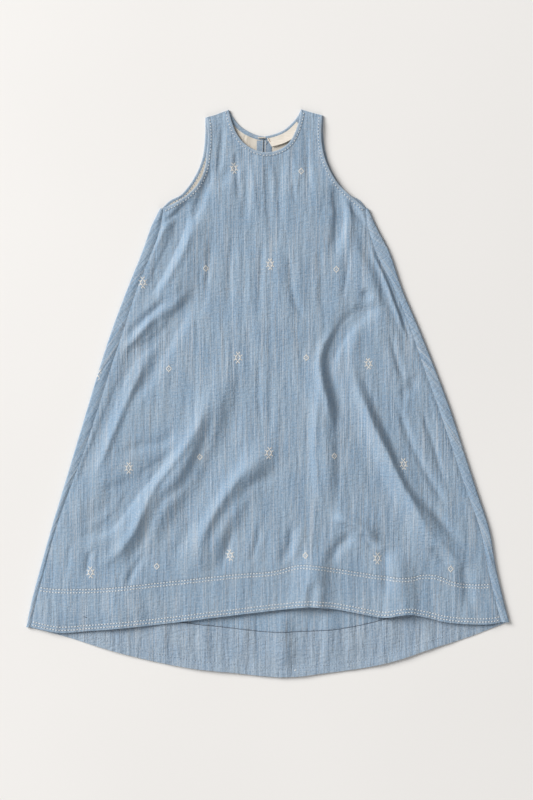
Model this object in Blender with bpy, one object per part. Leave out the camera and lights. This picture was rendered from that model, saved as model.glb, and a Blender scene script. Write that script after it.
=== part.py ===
"""A sleeveless swing dress laid flat on its back, cut and sewn as the real one: front, back, hem band,
facing, lining, bias bindings, slit and label. Lengths in the tables are millimetres. X runs across
the dress, Y from hem to neck, Z up from the surface that it lies on. The origin is the middle of its
underside. Every piece of cloth is a closed wall over a grid of points."""

import math

import bpy
import numpy as np

MM = 0.001

# Cloth and seams
WALL = 1.4
TRIM = 1.0
GAP = 0.3
BINDING = 8.0

# Levels above the surface: the back lies at zero and the rest is stacked on it
ON_BACK = WALL + GAP
ON_TRIM = ON_BACK + TRIM + GAP
ON_PLACKET = ON_TRIM + TRIM + GAP
SIDE_ROLL = 3.5
FRONT_LEVEL = 2 * SIDE_ROLL - WALL
LOWEST_FRONT = ON_PLACKET + 0.1
SHOULDER_LEVEL = ON_TRIM
SHOULDER_SLOPE = 22.0

# Heights along the dress
HEM_CORNERS = (-467.0, -457.0)
BAND_TOPS = (-386.0, -379.0)
CHEST = 355.0
UNDERARM = 369.0

# Puff of the front over the back
PUFF = 3.5
PUFF_RIM = 70.0
PUFF_TOP = 480.0
SEAM_CALM = 35.0
FOLD_FADE = 0.3

# Grid of the panels
BAND_ROWS = 3
BODY_ROWS = 20
ARMHOLE_ROWS = 9
ROLL_STEPS = 4
FRONT_STRAP = 7
FRONT_NECK = 30
BACK_STRAP = 3
BACK_NECK_HALF = 7

# Back neck slit
SLIT_WIDTH = 2.4
SLIT_LENGTH = 120.0
SLIT_AT = -6.6
PLACKET_WIDTH = 12.0

# Label and thread bar
LABEL_FROM_EDGE = 5.0
LABEL_HEIGHT = 18.5
LABEL_ALONG_NECK = (3.0, 73.0)
BAR_LENGTH = 16.0
BAR_PAST_SLIT = 2.0
BAR_BELOW_EDGE = 2.8
BAR_RADIUS = 1.7
BAR_SIDES = 8
LINING_ROWS = 1

# The sides, a row for each height: height, left edge, right edge, left seam inside the edge, right seam
SIDES = (
    (-467, -482.5, 485.1, 9, 16),
    (-413, -471, 471, 9, 17),
    (-353, -455, 457, 9, 17),
    (-273, -433, 443, 9, 19),
    (-193, -409, 417, 13, 21),
    (-113, -385, 391, 19, 22),
    (-33, -361, 365, 21, 23),
    (47, -337, 335, 22, 22),
    (127, -311, 303, 23, 18),
    (207, -281, 269, 19, 16),
    (287, -249, 241, 19, 27),
    (337, -231, 215, 18, 16),
    (369, -215, 201, 6, 6),
)

# Edges across the dress, each a smooth curve through these places (x, y)
BACK_HEM = ((-483, -467), (-412, -485), (-313, -515), (-247, -532), (-163, -549), (-63, -560),
            (37, -568.5), (117, -560), (184, -551), (251, -537), (317, -515), (399, -489), (483, -457))
FRONT_HEM = ((-483, -467), (-412, -480), (-363, -477), (-229, -465), (-97, -449), (23, -435),
             (85, -429), (135, -434), (184, -443), (233, -451), (280, -444), (317, -451),
             (349, -459), (399, -464), (449, -464), (483, -457))
BAND_TOP = ((-475, -386), (-433, -392), (-363, -393), (-213, -380), (-63, -364), (23, -356),
            (58, -346), (91, -346), (135, -353), (184, -361), (233, -368), (283, -371),
            (317, -365), (343, -369), (367, -379), (433, -385), (475, -379))
FACING_TOP = ((-475, -386), (-300, -436), (-173, -461), (-81, -471), (19, -481), (51, -480),
              (151, -473), (201, -463), (300, -436), (475, -379))

# Neck and armhole edges, from the left shoulder to the right, and from the underarm up
NECK_FRONT = ((-78, 566), (-76, 556), (-71, 539), (-64, 522), (-47, 499), (-27, 486), (-7, 481),
              (18, 484), (41, 498), (56, 523), (64, 549), (67, 567))
NECK_BACK_LEFT = ((-78, 566), (-70, 552), (-55, 534), (-37, 522), (-19, 515), (-7.8, 513))
NECK_BACK_RIGHT = ((-5.4, 513), (15, 518), (36, 528), (48, 539), (58, 550), (67, 567))
ARM_FRONT_LEFT = ((-186, 380), (-158, 400), (-137, 429), (-124, 467), (-119, 521), (-122, 551))
ARM_FRONT_RIGHT = ((169, 391), (141, 417), (121, 451), (109, 490), (107, 520), (109, 555))
ARM_BACK_LEFT = ((-195, 385), (-178, 393), (-149, 427), (-131, 467), (-125, 507), (-124, 551))
ARM_BACK_RIGHT = ((188, 384), (174, 389), (146, 415), (125, 450), (113, 493), (110, 525), (111, 555))
SHOULDER_LEFT = ((-124, 551), (-104, 556), (-94, 560), (-78, 566))
SHOULDER_RIGHT = ((67, 567), (87, 561), (102, 557), (111, 555))

# Folds of the front, a row for each: start, middle and end (x, y), half width, height, and how much
# steeper its side towards +X is. A negative height is a trough.
FOLDS = (
    ("long left wave", (-79, 80), (-155, -129), (-325, -355), 30, 12, 1.2),
    ("middle wave", (21, -80), (-63, -207), (-170, -385), 27, 11, 1.2),
    ("right of centre wave", (107, 90), (115, -73), (127, -270), 24, 8, 1.1),
    ("long right wave", (165, 75), (249, -137), (385, -350), 26, 12, 1.4),
    ("lap below the centre", (118, -245), (177, -260), (232, -300), 14, 6, 0.7),
    ("small lap on the right", (318, -295), (343, -323), (366, -350), 10, 3, 1.2),
    ("hem crest in the middle", (104, -300), (92, -393), (82, -520), 30, 12, 1.2),
    ("hem crest on the right", (250, -310), (267, -393), (281, -540), 30, 9, 1.2),
    ("hem crest on the left", (-260, -330), (-285, -420), (-300, -560), 46, 4, 1.0),
    ("puff along the right seam", (160, 330), (212, 207), (252, 100), 20, 5, 1.3),
    ("puff under the left armhole", (-120, 370), (-165, 250), (-215, 170), 26, 4, 1.0),
    ("puff in the middle", (40, 330), (20, 200), (-10, 60), 60, 3, 1.0),
    ("trough from the left armhole", (-150, 400), (-192, 297), (-265, 150), 16, -5, 1.0),
    ("trough across the left", (-130, 215), (-203, 127), (-295, 50), 24, -4, 1.0),
    ("trough beside the left seam", (-250, 125), (-317, -35), (-400, -235), 16, -4, 1.0),
    ("trough above the left wave", (-180, -110), (-299, -205), (-395, -300), 22, -5, 1.0),
    ("trough right of the left wave", (-55, 40), (-120, -160), (-262, -360), 20, -3, 1.0),
    ("trough left of the right wave", (150, 30), (205, -140), (300, -330), 22, -3, 1.0),
    ("trough from the right armhole", (128, 425), (144, 371), (134, 290), 12, -4, 1.0),
    ("short trough at the right underarm", (158, 392), (187, 348), (208, 322), 9, -3, 1.0),
    ("crescent on the right", (225, 175), (147, 127), (117, 40), 18, -5, 1.0),
    ("trough below the left shoulder", (-106, 465), (-131, 397), (-156, 330), 14, -3, 1.0),
    ("left neck tuck", (-41, 472), (-43, 397), (-48, 310), 8, -3, 1.0),
    ("middle neck tuck", (0, 472), (1, 400), (1, 310), 7, -2.5, 1.0),
    ("right neck tuck", (20, 472), (22, 400), (24, 325), 7, -2.5, 1.0),
)

# Looks: colour, roughness
CHAMBRAY = ((0.265, 0.385, 0.545, 1.0), 0.85)
CHAMBRAY_TRIM = ((0.25, 0.365, 0.52, 1.0), 0.85)
LINING_CREAM = ((0.70, 0.63, 0.52, 1.0), 0.9)
LABEL_CREAM = ((0.80, 0.75, 0.65, 1.0), 0.8)
THREAD_CREAM = ((0.78, 0.74, 0.68, 1.0), 0.8)


def clear_scene():
    for old in list(bpy.context.scene.objects):
        bpy.data.objects.remove(old, do_unlink=True)


def cloth_material(name, look):
    colour, roughness = look
    material = bpy.data.materials.new(name)
    material.use_nodes = True
    shader = material.node_tree.nodes["Principled BSDF"]
    shader.inputs["Base Color"].default_value = colour
    shader.inputs["Roughness"].default_value = roughness
    shader.inputs["Metallic"].default_value = 0.0
    return material


def ease(t):
    """From 0 to 1 with a soft start and end."""
    t = np.clip(t, 0.0, 1.0)
    return t * t * (3 - 2 * t)


def smooth(points, steps=12):
    """A smooth curve through the points, as short steps."""
    p = np.array(points, float)
    span = np.linalg.norm(np.diff(p, axis=0), axis=1)
    slope = np.gradient(p, np.concatenate([[0], np.cumsum(span)]), axis=0)
    t = np.linspace(0, 1, steps, endpoint=False)[:, None]
    parts = []
    for k, length in enumerate(span):
        start = (2 * t**3 - 3 * t**2 + 1) * p[k] + (t**3 - 2 * t**2 + t) * length * slope[k]
        finish = (3 * t**2 - 2 * t**3) * p[k + 1] + (t**3 - t**2) * length * slope[k + 1]
        parts.append(start + finish)
    return np.vstack([*parts, p[-1:]])


def distances(curve):
    return np.concatenate([[0], np.cumsum(np.linalg.norm(np.diff(curve, axis=0), axis=1))])


def places_on(curve, at):
    """The points at these distances along the curve."""
    along = distances(curve)
    return np.stack([np.interp(at, along, curve[:, k]) for k in range(curve.shape[1])], axis=1)


def evenly(curve, count, start=0.0, end_margin=0.0):
    """Points that cut a stretch of the curve into equal steps."""
    return places_on(curve, np.linspace(start, distances(curve)[-1] - end_margin, count + 1))


def moved_sideways(curve, by):
    """The curve moved to the right of its own direction, with full corners."""
    step = np.diff(curve, axis=0)
    unit = step / np.linalg.norm(step, axis=1)[:, None]
    side = np.stack([unit[:, 1], -unit[:, 0]], axis=1)
    before = np.vstack([side[:1], side])
    after = np.vstack([side, side[-1:]])
    middle = before + after
    middle /= np.linalg.norm(middle, axis=1)[:, None]
    reach = by / np.clip((middle * after).sum(axis=1), 0.6, 1.0)
    return curve + middle * reach[:, None]


def side_places(height):
    """Left edge, right edge, left seam and right seam at this height."""
    curve = smooth(SIDES)
    left, right, left_in, right_in = (np.interp(height, curve[:, 0], curve[:, k]) for k in (1, 2, 3, 4))
    return left, right, left + left_in, right - right_in


def side_heights(corner, band_top):
    """Heights of the rows along a side, from the hem corner to the chest line."""
    band = np.linspace(corner, band_top, BAND_ROWS + 1)
    return np.concatenate([band, np.linspace(band_top, CHEST, BODY_ROWS + 1)[1:]])


def height_over(curve, x):
    """How far the curve lies above the straight line between its heights at the two sides."""
    fine = smooth(curve)
    y = np.interp(x, fine[:, 0], fine[:, 1])
    return y - y[0] - (y[-1] - y[0]) * (x - x[0]) / (x[-1] - x[0])


def lower_rows(left_x, right_x, hem, band, chest_x):
    """Rows of points from the hem up to just below the chest line."""
    left_y, right_y = (side_heights(HEM_CORNERS[k], BAND_TOPS[k]) for k in (0, 1))
    even = np.linspace(0, 1, len(chest_x))
    at_chest = (chest_x - chest_x[0]) / (chest_x[-1] - chest_x[0])
    last = len(left_y) - 1
    rows = []
    for i in range(last):
        share = even + (at_chest - even) * ease(i / last)
        x = left_x(left_y[i]) + (right_x(right_y[i]) - left_x(left_y[i])) * share
        y = left_y[i] + (right_y[i] - left_y[i]) * share
        band_rise = height_over(band, x)
        if i < BAND_ROWS:
            hem_rise = height_over(hem, x)
            y = y + hem_rise + (band_rise - hem_rise) * i / BAND_ROWS
        else:
            y = y + band_rise * (last - i) / BODY_ROWS
        rows.append(np.stack([x, y], axis=1))
    return np.array(rows)


def armhole_rows(chest_point, corner, curve):
    """Places up one side: chest line, underarm corner, armhole edge, and the shoulder's end."""
    edge = smooth((corner, *curve))
    up = evenly(edge, ARMHOLE_ROWS, end_margin=BINDING)
    return np.vstack([[chest_point], up, edge[-1:]])


def shoulders(count):
    """Places along both shoulders, from left to right, with one a binding's width from each armhole."""
    left, right = smooth(SHOULDER_LEFT), smooth(SHOULDER_RIGHT)
    return (np.vstack([left[:1], evenly(left, count, start=BINDING)]),
            np.vstack([evenly(right, count, end_margin=BINDING), right[-1:]]))


def upper_rows(left, right, top, strap):
    """Rows of points from the chest line to the neck and shoulders. A strip as wide as the binding
    runs along the armholes, shoulders and neck, and the space inside it is blended between them."""
    in_left = moved_sideways(left, BINDING)[:-1]
    in_right = moved_sideways(right, -BINDING)[:-1]
    in_left[0] = left[0] + (BINDING, 0)
    in_right[0] = right[0] - (BINDING, 0)
    in_top = moved_sideways(top, BINDING)
    last = len(top) - 1
    in_left[-1] = in_top[1] = (in_left[-1] + in_top[1]) / 2
    in_right[-1] = in_top[last - 1] = (in_right[-1] + in_top[last - 1]) / 2
    for k in range(1, strap):
        share = k / strap
        for armhole, neck, here in ((1, 1 + strap, 1 + k), (last - 1, last - 1 - strap, last - 1 - k)):
            in_top[here] = in_top[armhole] + (in_top[neck] - in_top[armhole]) * share
    inner = in_top[1:last]
    u = ((inner[:, 0] - inner[0, 0]) / (inner[-1, 0] - inner[0, 0]))[:, None]
    chest = in_left[0] + (in_right[0] - in_left[0]) * u
    grid = np.zeros((len(left), last + 1, 2))
    for i in range(len(in_left)):
        rises = [(side[i, 1] - CHEST) / (side[-1, 1] - CHEST) for side in (in_left, in_right)]
        v = sum(rises) / 2
        across = in_left[i] * (1 - u) + in_right[i] * u
        upward = chest * (1 - v) + inner * v
        low_chord = in_left[0] * (1 - u) + in_right[0] * u
        high_chord = inner[0] * (1 - u) + inner[-1] * u
        grid[i, 1:last] = across + upward - low_chord * (1 - v) - high_chord * v
    grid[:, 0] = left
    grid[:, last] = right
    grid[-1] = top
    return grid


def front_points():
    """The front's grid: rows from the hem to the neck, columns from the left seam to the right."""
    def left_seam(y):
        return side_places(y)[2] + GAP / 2

    def right_seam(y):
        return side_places(y)[3] - GAP / 2

    left = armhole_rows((left_seam(CHEST), CHEST), (left_seam(UNDERARM), UNDERARM), ARM_FRONT_LEFT)
    right = armhole_rows((right_seam(CHEST), CHEST), (right_seam(UNDERARM), UNDERARM), ARM_FRONT_RIGHT)
    straps = shoulders(FRONT_STRAP)
    straps[0][0] = left[-1]
    straps[1][-1] = right[-1]
    neck = evenly(smooth(NECK_FRONT), FRONT_NECK)
    top = np.vstack([straps[0][:-1], neck, straps[1][1:]])
    upper = upper_rows(left, right, top, FRONT_STRAP)
    return np.vstack([lower_rows(left_seam, right_seam, FRONT_HEM, BAND_TOP, upper[0, :, 0]), upper])


def back_points():
    """The back's grid where it lies flat, between the two rolled sides."""
    def left_side(y):
        return side_places(y)[0] + SIDE_ROLL

    def right_side(y):
        return side_places(y)[1] - SIDE_ROLL

    left = armhole_rows((left_side(CHEST), CHEST), (left_side(UNDERARM), UNDERARM), ARM_BACK_LEFT)
    right = armhole_rows((right_side(CHEST), CHEST), (right_side(UNDERARM), UNDERARM), ARM_BACK_RIGHT)
    straps = shoulders(BACK_STRAP)
    necks = [evenly(smooth(half), BACK_NECK_HALF) for half in (NECK_BACK_LEFT, NECK_BACK_RIGHT)]
    top = np.vstack([straps[0][:-1], *necks, straps[1][1:]])
    upper = upper_rows(left, right, top, BACK_STRAP)
    return np.vstack([lower_rows(left_side, right_side, BACK_HEM, FACING_TOP, upper[0, :, 0]), upper])


def fold_lift(x, y, fold):
    """The height that one fold adds at each place."""
    _, start, middle, end, width, height, steep = fold
    a, b, c = (np.array(p, float) for p in (start, middle, end))
    t = np.linspace(0, 1, 25)[:, None]
    line = a * (1 - t) ** 2 + (2 * b - (a + c) / 2) * 2 * t * (1 - t) + c * t**2
    best = np.full(x.shape, np.inf)
    lift = np.zeros(x.shape)
    for k in range(len(line) - 1):
        way = line[k + 1] - line[k]
        span = way @ way
        share = np.clip(((x - line[k, 0]) * way[0] + (y - line[k, 1]) * way[1]) / span, 0, 1)
        off_x = x - line[k, 0] - way[0] * share
        off_y = y - line[k, 1] - way[1] * share
        away = np.hypot(off_x, off_y)
        nearer = away < best
        along = (k + share) / (len(line) - 1)
        right_of_it = off_x * -way[1] + off_y * way[0] > 0
        half = np.where(right_of_it, width / steep, width)
        ends = ease(along / FOLD_FADE) * ease((1 - along) / FOLD_FADE)
        lift = np.where(nearer, height * ends * np.exp(-((away / half) ** 2)), lift)
        best = np.minimum(best, away)
    return lift


def shoulder_drop(x, y):
    """How far the front comes down to the back as it nears the shoulder seams."""
    drop = np.zeros(x.shape)
    for ends, here in ((SHOULDER_LEFT, x < SLIT_AT), (SHOULDER_RIGHT, x >= SLIT_AT)):
        a, b = np.array(ends[0], float), np.array(ends[-1], float)
        way = (b - a) / np.linalg.norm(b - a)
        below = (x - a[0]) * way[1] - (y - a[1]) * way[0]
        drop = np.where(here, 1 - ease(below / SHOULDER_SLOPE), drop)
    return drop * (FRONT_LEVEL - SHOULDER_LEVEL)


def front_height(points):
    """Height of the front's underside over each point of its grid."""
    x, y = points[..., 0], points[..., 1]
    _, _, left, right = side_places(y)
    from_seam = np.minimum(x - left, right - x)
    calm = np.where(y > UNDERARM, 1.0, ease(from_seam / SEAM_CALM))
    puff = PUFF * ease((x - left) / PUFF_RIM) * ease((right - x) / PUFF_RIM) * ease((PUFF_TOP - y) / PUFF_RIM)
    lift = puff + sum(fold_lift(x, y, fold) for fold in FOLDS) * calm
    return np.maximum(FRONT_LEVEL + lift, LOWEST_FRONT) - shoulder_drop(x, y)


def raised(points, height):
    """Points of a flat grid set at a height, or at a height for each."""
    return np.concatenate([points, np.broadcast_to(height, points.shape[:2])[..., None]], axis=2)


def wall(name, over, under, material, left_out=()):
    """A closed wall of cloth between two grids of points. Cells in left_out (row, column) are open."""
    rows, columns = over.shape[0] - 1, over.shape[1] - 1
    cells = [(i, j) for i in range(rows) for j in range(columns) if (i, j) not in left_out]
    numbers = {}
    places = []

    def number(layer, i, j):
        key = (layer, i, j)
        if key not in numbers:
            numbers[key] = len(places)
            places.append(tuple((over, under)[layer][i, j] * MM))
        return numbers[key]

    faces = []
    edges = set()
    for i, j in cells:
        ring = [(i, j), (i, j + 1), (i + 1, j + 1), (i + 1, j)]
        a, b, c, d = (number(0, *p) for p in ring)
        faces += [(a, b, c), (a, c, d)]
        a, b, c, d = (number(1, *p) for p in ring)
        faces += [(a, c, b), (a, d, c)]
        edges.update(zip(ring, ring[1:] + ring[:1]))
    for p, q in sorted(edges):
        if (q, p) not in edges:
            faces.append((number(0, *q), number(0, *p), number(1, *p)))
            faces.append((number(0, *q), number(1, *p), number(1, *q)))
    mesh = bpy.data.meshes.new(name)
    mesh.from_pydata(places, [], faces)
    mesh.materials.append(material)
    mesh.shade_smooth()
    mesh.set_sharp_from_angle(angle=math.radians(50))
    made = bpy.data.objects.new(name, mesh)
    bpy.context.scene.collection.objects.link(made)
    return made


def sheet_on(name, points, height, thick, material, left_out=()):
    """A wall of even thickness whose underside is the points at that height."""
    return wall(name, raised(points, height + thick), raised(points, height), material, left_out)


def rolled_side(edge_x, seam_x, toward):
    """The section of a rolled side from its seam on top round to the surface: the middle of the wall
    and the way out of the garment, for one row. toward is 1 where the dress lies towards +X."""
    middle = SIDE_ROLL - WALL / 2
    centre = edge_x + toward * SIDE_ROLL
    path = [((seam_x, SIDE_ROLL + middle), (0.0, 1.0))]
    for k in range(ROLL_STEPS + 1):
        turn = math.pi * k / ROLL_STEPS
        out = (-toward * math.sin(turn), math.cos(turn))
        path.append(((centre + middle * out[0], SIDE_ROLL + middle * out[1]), out))
    return path


def make_back(flat, slit_cells, material):
    """The back with its rolled sides. Columns run from the left seam, round the roll, across the
    surface, round the right roll and up to the right seam."""
    side_columns = ROLL_STEPS + 1
    corner_row = BAND_ROWS + BODY_ROWS + 1
    rows, columns = flat.shape[:2]
    inside = np.zeros((rows, columns + 2 * side_columns, 3))
    outside = inside.copy()
    inside[:, side_columns:-side_columns] = raised(flat, WALL)
    outside[:, side_columns:-side_columns] = raised(flat, 0)
    for i in range(corner_row + 1):
        for side, toward, end in ((0, 1, 0), (1, -1, -1)):
            y = flat[i, end, 1]
            places = side_places(y)
            path = rolled_side(places[side], places[2 + side] - toward * GAP / 2, toward)[:-1]
            for k, ((x, z), out) in enumerate(path):
                column = k if toward == 1 else -1 - k
                outside[i, column] = (x + out[0] * WALL / 2, y, z + out[1] * WALL / 2)
                inside[i, column] = (x - out[0] * WALL / 2, y, z - out[1] * WALL / 2)
    above = {(i, j) for i in range(corner_row, rows - 1) for k in range(side_columns)
             for j in (k, columns - 1 + 2 * side_columns - 1 - k)}
    open_cells = above | {(i, j + side_columns) for i, j in slit_cells}
    return wall("back_panel", inside, outside, material, open_cells)


def part_way(a, b, distance):
    """Points moved from a towards b by a distance."""
    way = b - a
    return a + way / np.linalg.norm(way, axis=-1)[..., None] * distance


def make_front(points, chambray, trim):
    """The front, its hem band, and the bindings that lie on it."""
    height = front_height(points)
    sheet_on("front_hem_band", points[: BAND_ROWS + 1], height[: BAND_ROWS + 1], WALL, chambray)
    body = points[BAND_ROWS:].copy()
    body[0] = part_way(body[0], body[1], GAP)
    body_height = front_height(body)
    sheet_on("front_panel", body, body_height, WALL, chambray)
    on_top = body_height + WALL + GAP
    neck_start = 1 + FRONT_STRAP
    neck = slice(neck_start, neck_start + FRONT_NECK + 1)
    sheet_on("neck_binding_front", body[-2:, neck], on_top[-2:, neck], TRIM, trim)
    arm = slice(BODY_ROWS + 1, None)
    sheet_on("armhole_binding_left_front", body[arm, :2], on_top[arm, :2], TRIM, trim)
    sheet_on("armhole_binding_right_front", body[arm, -2:], on_top[arm, -2:], TRIM, trim)


def make_back_trim(points, slit_column, slit_row, slit_cells, materials):
    """Facing, lining, bindings, plackets, label and thread bar on the inside of the back."""
    chambray, trim, lining, label, thread = materials
    chest_row = BAND_ROWS + BODY_ROWS
    inset = points[: BAND_ROWS + 1, :].copy()
    inset[:, 0, 0] += GAP
    inset[:, -1, 0] -= GAP
    sheet_on("back_hem_facing", inset, ON_BACK, TRIM, chambray)
    first = chest_row - LINING_ROWS
    open_cells = {(i - first, j - 1) for i, j in slit_cells}
    sheet_on("back_neck_lining", points[first:-1, 1:-1], ON_BACK, TRIM, lining, open_cells)
    for name, columns in (("left", slice(1 + BACK_STRAP, slit_column + 1)),
                          ("right", slice(slit_column + 1, -1 - BACK_STRAP))):
        strip = np.stack([part_way(points[-2, columns], points[-1, columns], GAP), points[-1, columns]])
        sheet_on(f"neck_binding_back_{name}", strip, ON_BACK, TRIM, trim)
    arm = slice(chest_row + 1, None)
    for name, edge, inner in (("left", 0, 1), ("right", -1, -2)):
        pair = [points[arm, edge], part_way(points[arm, inner], points[arm, edge], GAP)]
        strip = np.stack(pair if name == "left" else pair[::-1], axis=1)
        sheet_on(f"armhole_binding_{name}_back", strip, ON_BACK, TRIM, trim)
    stretch = points[slit_row - 1:-1]
    for name, column, way in (("left", slit_column, -1), ("right", slit_column + 1, 1)):
        edge = stretch[:, column]
        outer = edge + (way * PLACKET_WIDTH, 0)
        outer[-1, 1] = edge[-1, 1]
        strip = np.stack([outer, edge] if way < 0 else [edge, outer], axis=1)
        sheet_on(f"slit_placket_{name}", strip, ON_TRIM, TRIM, trim)
    make_label(label)
    make_thread_bar(points[-1, slit_column], thread)


def make_label(material):
    """A bare woven label that hangs from the neck edge and follows it."""
    edge = smooth(NECK_BACK_RIGHT)
    along = np.linspace(*LABEL_ALONG_NECK, 7)
    upper = places_on(moved_sideways(edge, LABEL_FROM_EDGE), along)
    direction = upper[-1] - upper[0]
    down = np.array([direction[1], -direction[0]]) / np.linalg.norm(direction)
    lower = upper + down * LABEL_HEIGHT
    sheet_on("label", np.stack([lower, upper]), ON_PLACKET, TRIM, material)


def make_thread_bar(slit_top, material):
    """A worked thread bar that bridges the top of the slit: a slim round bar with tapered ends."""
    centre_x = slit_top[0] + SLIT_WIDTH + BAR_PAST_SLIT - BAR_LENGTH / 2
    centre_y = slit_top[1] - BAR_BELOW_EDGE
    centre_z = ON_TRIM + BAR_RADIUS
    shares = (0.0, 0.12, 0.3, 0.5, 0.7, 0.88, 1.0)
    places = []
    for share in shares:
        radius = BAR_RADIUS * (0.45 + 0.55 * math.sin(math.pi * share))
        for k in range(BAR_SIDES):
            turn = 2 * math.pi * k / BAR_SIDES
            places.append(((centre_x + BAR_LENGTH * (share - 0.5)) * MM,
                           (centre_y + radius * math.cos(turn)) * MM,
                           (centre_z + radius * math.sin(turn)) * MM))
    faces = []
    for ring in range(len(shares) - 1):
        for k in range(BAR_SIDES):
            a, b = ring * BAR_SIDES + k, ring * BAR_SIDES + (k + 1) % BAR_SIDES
            faces.append((a, a + BAR_SIDES, b + BAR_SIDES, b))
    faces.append(tuple(range(BAR_SIDES)))
    faces.append(tuple(reversed(range(len(places) - BAR_SIDES, len(places)))))
    mesh = bpy.data.meshes.new("slit_thread_bar")
    mesh.from_pydata(places, [], [face[::-1] for face in faces])
    mesh.materials.append(material)
    mesh.shade_smooth()
    made = bpy.data.objects.new("slit_thread_bar", mesh)
    bpy.context.scene.collection.objects.link(made)


def main():
    clear_scene()
    chambray = cloth_material("chambray", CHAMBRAY)
    trim = cloth_material("chambray_trim", CHAMBRAY_TRIM)
    lining = cloth_material("cream_lining", LINING_CREAM)
    label = cloth_material("woven_label", LABEL_CREAM)
    thread = cloth_material("cream_thread", THREAD_CREAM)
    back = back_points()
    slit_column = 1 + BACK_STRAP + BACK_NECK_HALF
    lowest = back[-1, slit_column, 1] - SLIT_LENGTH
    slit_row = int(np.argmax(back[:, slit_column, 1] > lowest))
    slit_cells = {(i, slit_column) for i in range(slit_row, back.shape[0] - 1)}
    make_back(back, slit_cells, chambray)
    make_back_trim(back, slit_column, slit_row, slit_cells, (chambray, trim, lining, label, thread))
    make_front(front_points(), chambray, trim)


main()
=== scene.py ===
"""The looks of a sleeveless swing dress laid flat on its back: pale blue slub chambray with small woven
stars and diamonds, a wide hem band, bias bindings, a cream lining and a bare label. Lengths in the
tables are millimetres, as in the part's source. X runs across the dress, Y from hem to neck, Z up."""

import math

import bmesh
import bpy
import numpy as np
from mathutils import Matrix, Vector


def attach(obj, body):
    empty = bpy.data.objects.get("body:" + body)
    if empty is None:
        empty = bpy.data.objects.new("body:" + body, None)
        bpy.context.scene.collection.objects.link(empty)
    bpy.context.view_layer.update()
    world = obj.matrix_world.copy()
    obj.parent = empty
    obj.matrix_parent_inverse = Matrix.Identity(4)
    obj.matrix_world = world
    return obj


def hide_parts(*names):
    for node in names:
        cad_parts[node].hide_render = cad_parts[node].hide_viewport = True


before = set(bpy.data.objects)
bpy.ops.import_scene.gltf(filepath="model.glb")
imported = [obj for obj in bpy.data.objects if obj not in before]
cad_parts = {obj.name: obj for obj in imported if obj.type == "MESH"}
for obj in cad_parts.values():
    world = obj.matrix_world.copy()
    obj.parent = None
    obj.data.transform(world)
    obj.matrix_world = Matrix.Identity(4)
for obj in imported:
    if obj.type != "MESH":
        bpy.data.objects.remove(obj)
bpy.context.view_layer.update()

MM = 0.001

# Cloth and levels, as in the part's source
WALL = 1.4
GAP = 0.3
TRIM = 1.0
BINDING = 8.0
ON_BACK = WALL + GAP
ON_TRIM = ON_BACK + TRIM + GAP
ON_PLACKET = ON_TRIM + TRIM + GAP
SIDE_ROLL = 3.5
FRONT_LEVEL = 2 * SIDE_ROLL - WALL
LOWEST_FRONT = ON_PLACKET + 0.1
SHOULDER_LEVEL = ON_TRIM
SHOULDER_SLOPE = 22.0
HEM_CORNERS = (-467.0, -457.0)
BAND_TOPS = (-386.0, -379.0)
CHEST = 355.0
UNDERARM = 369.0
PUFF = 3.5
PUFF_RIM = 70.0
PUFF_TOP = 480.0
SEAM_CALM = 35.0
FOLD_FADE = 0.3
BAND_ROWS = 3
BODY_ROWS = 20
ARMHOLE_ROWS = 9
FRONT_STRAP = 7
FRONT_NECK = 30
BACK_STRAP = 3
BACK_NECK_HALF = 7
SLIT_WIDTH = 2.4
SLIT_LENGTH = 120.0
SLIT_AT = -6.6
PLACKET_WIDTH = 12.0
LABEL_FROM_EDGE = 5.0
LABEL_HEIGHT = 18.5
LABEL_ALONG_NECK = (3.0, 73.0)
BAR_LENGTH = 16.0
BAR_PAST_SLIT = 2.0
BAR_BELOW_EDGE = 2.8

# Thin cloth of the looks: its thickness, room for the stitches under it, and how many finer rows or
# columns each coarse one becomes
CLOTH = 1.2
UNDER_THREADS = 0.3
BODY_STEPS = (8, 4)
FRONT_STEPS = (5, 5, 5)
BACK_ROW_STEPS = (6, 6, 4)
BACK_STEPS = (8, 8, 6, 8, 8)
ROLL_STEPS = 12
BAND_STEPS = (6,)
BAND_ACROSS = (10, 10, 10)

# The sides, a row for each height: height, left edge, right edge, left seam inside the edge, right seam
SIDES = (
    (-467, -482.5, 485.1, 9, 16),
    (-413, -471, 471, 9, 17),
    (-353, -455, 457, 9, 17),
    (-273, -433, 443, 9, 19),
    (-193, -409, 417, 13, 21),
    (-113, -385, 391, 19, 22),
    (-33, -361, 365, 21, 23),
    (47, -337, 335, 22, 22),
    (127, -311, 303, 23, 18),
    (207, -281, 269, 19, 16),
    (287, -249, 241, 19, 27),
    (337, -231, 215, 18, 16),
    (369, -215, 201, 6, 6),
)

# Edges across the dress, each a smooth curve through these places (x, y)
BACK_HEM = ((-483, -467), (-412, -485), (-313, -515), (-247, -532), (-163, -549), (-63, -560),
            (37, -568.5), (117, -560), (184, -551), (251, -537), (317, -515), (399, -489), (483, -457))
FRONT_HEM = ((-483, -467), (-412, -480), (-363, -477), (-229, -465), (-97, -449), (23, -435),
             (85, -429), (135, -434), (184, -443), (233, -451), (280, -444), (317, -451),
             (349, -459), (399, -464), (449, -464), (483, -457))
BAND_TOP = ((-475, -386), (-433, -392), (-363, -393), (-213, -380), (-63, -364), (23, -356),
            (58, -346), (91, -346), (135, -353), (184, -361), (233, -368), (283, -371),
            (317, -365), (343, -369), (367, -379), (433, -385), (475, -379))
FACING_TOP = ((-475, -386), (-300, -436), (-173, -461), (-81, -471), (19, -481), (51, -480),
              (151, -473), (201, -463), (300, -436), (475, -379))

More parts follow.
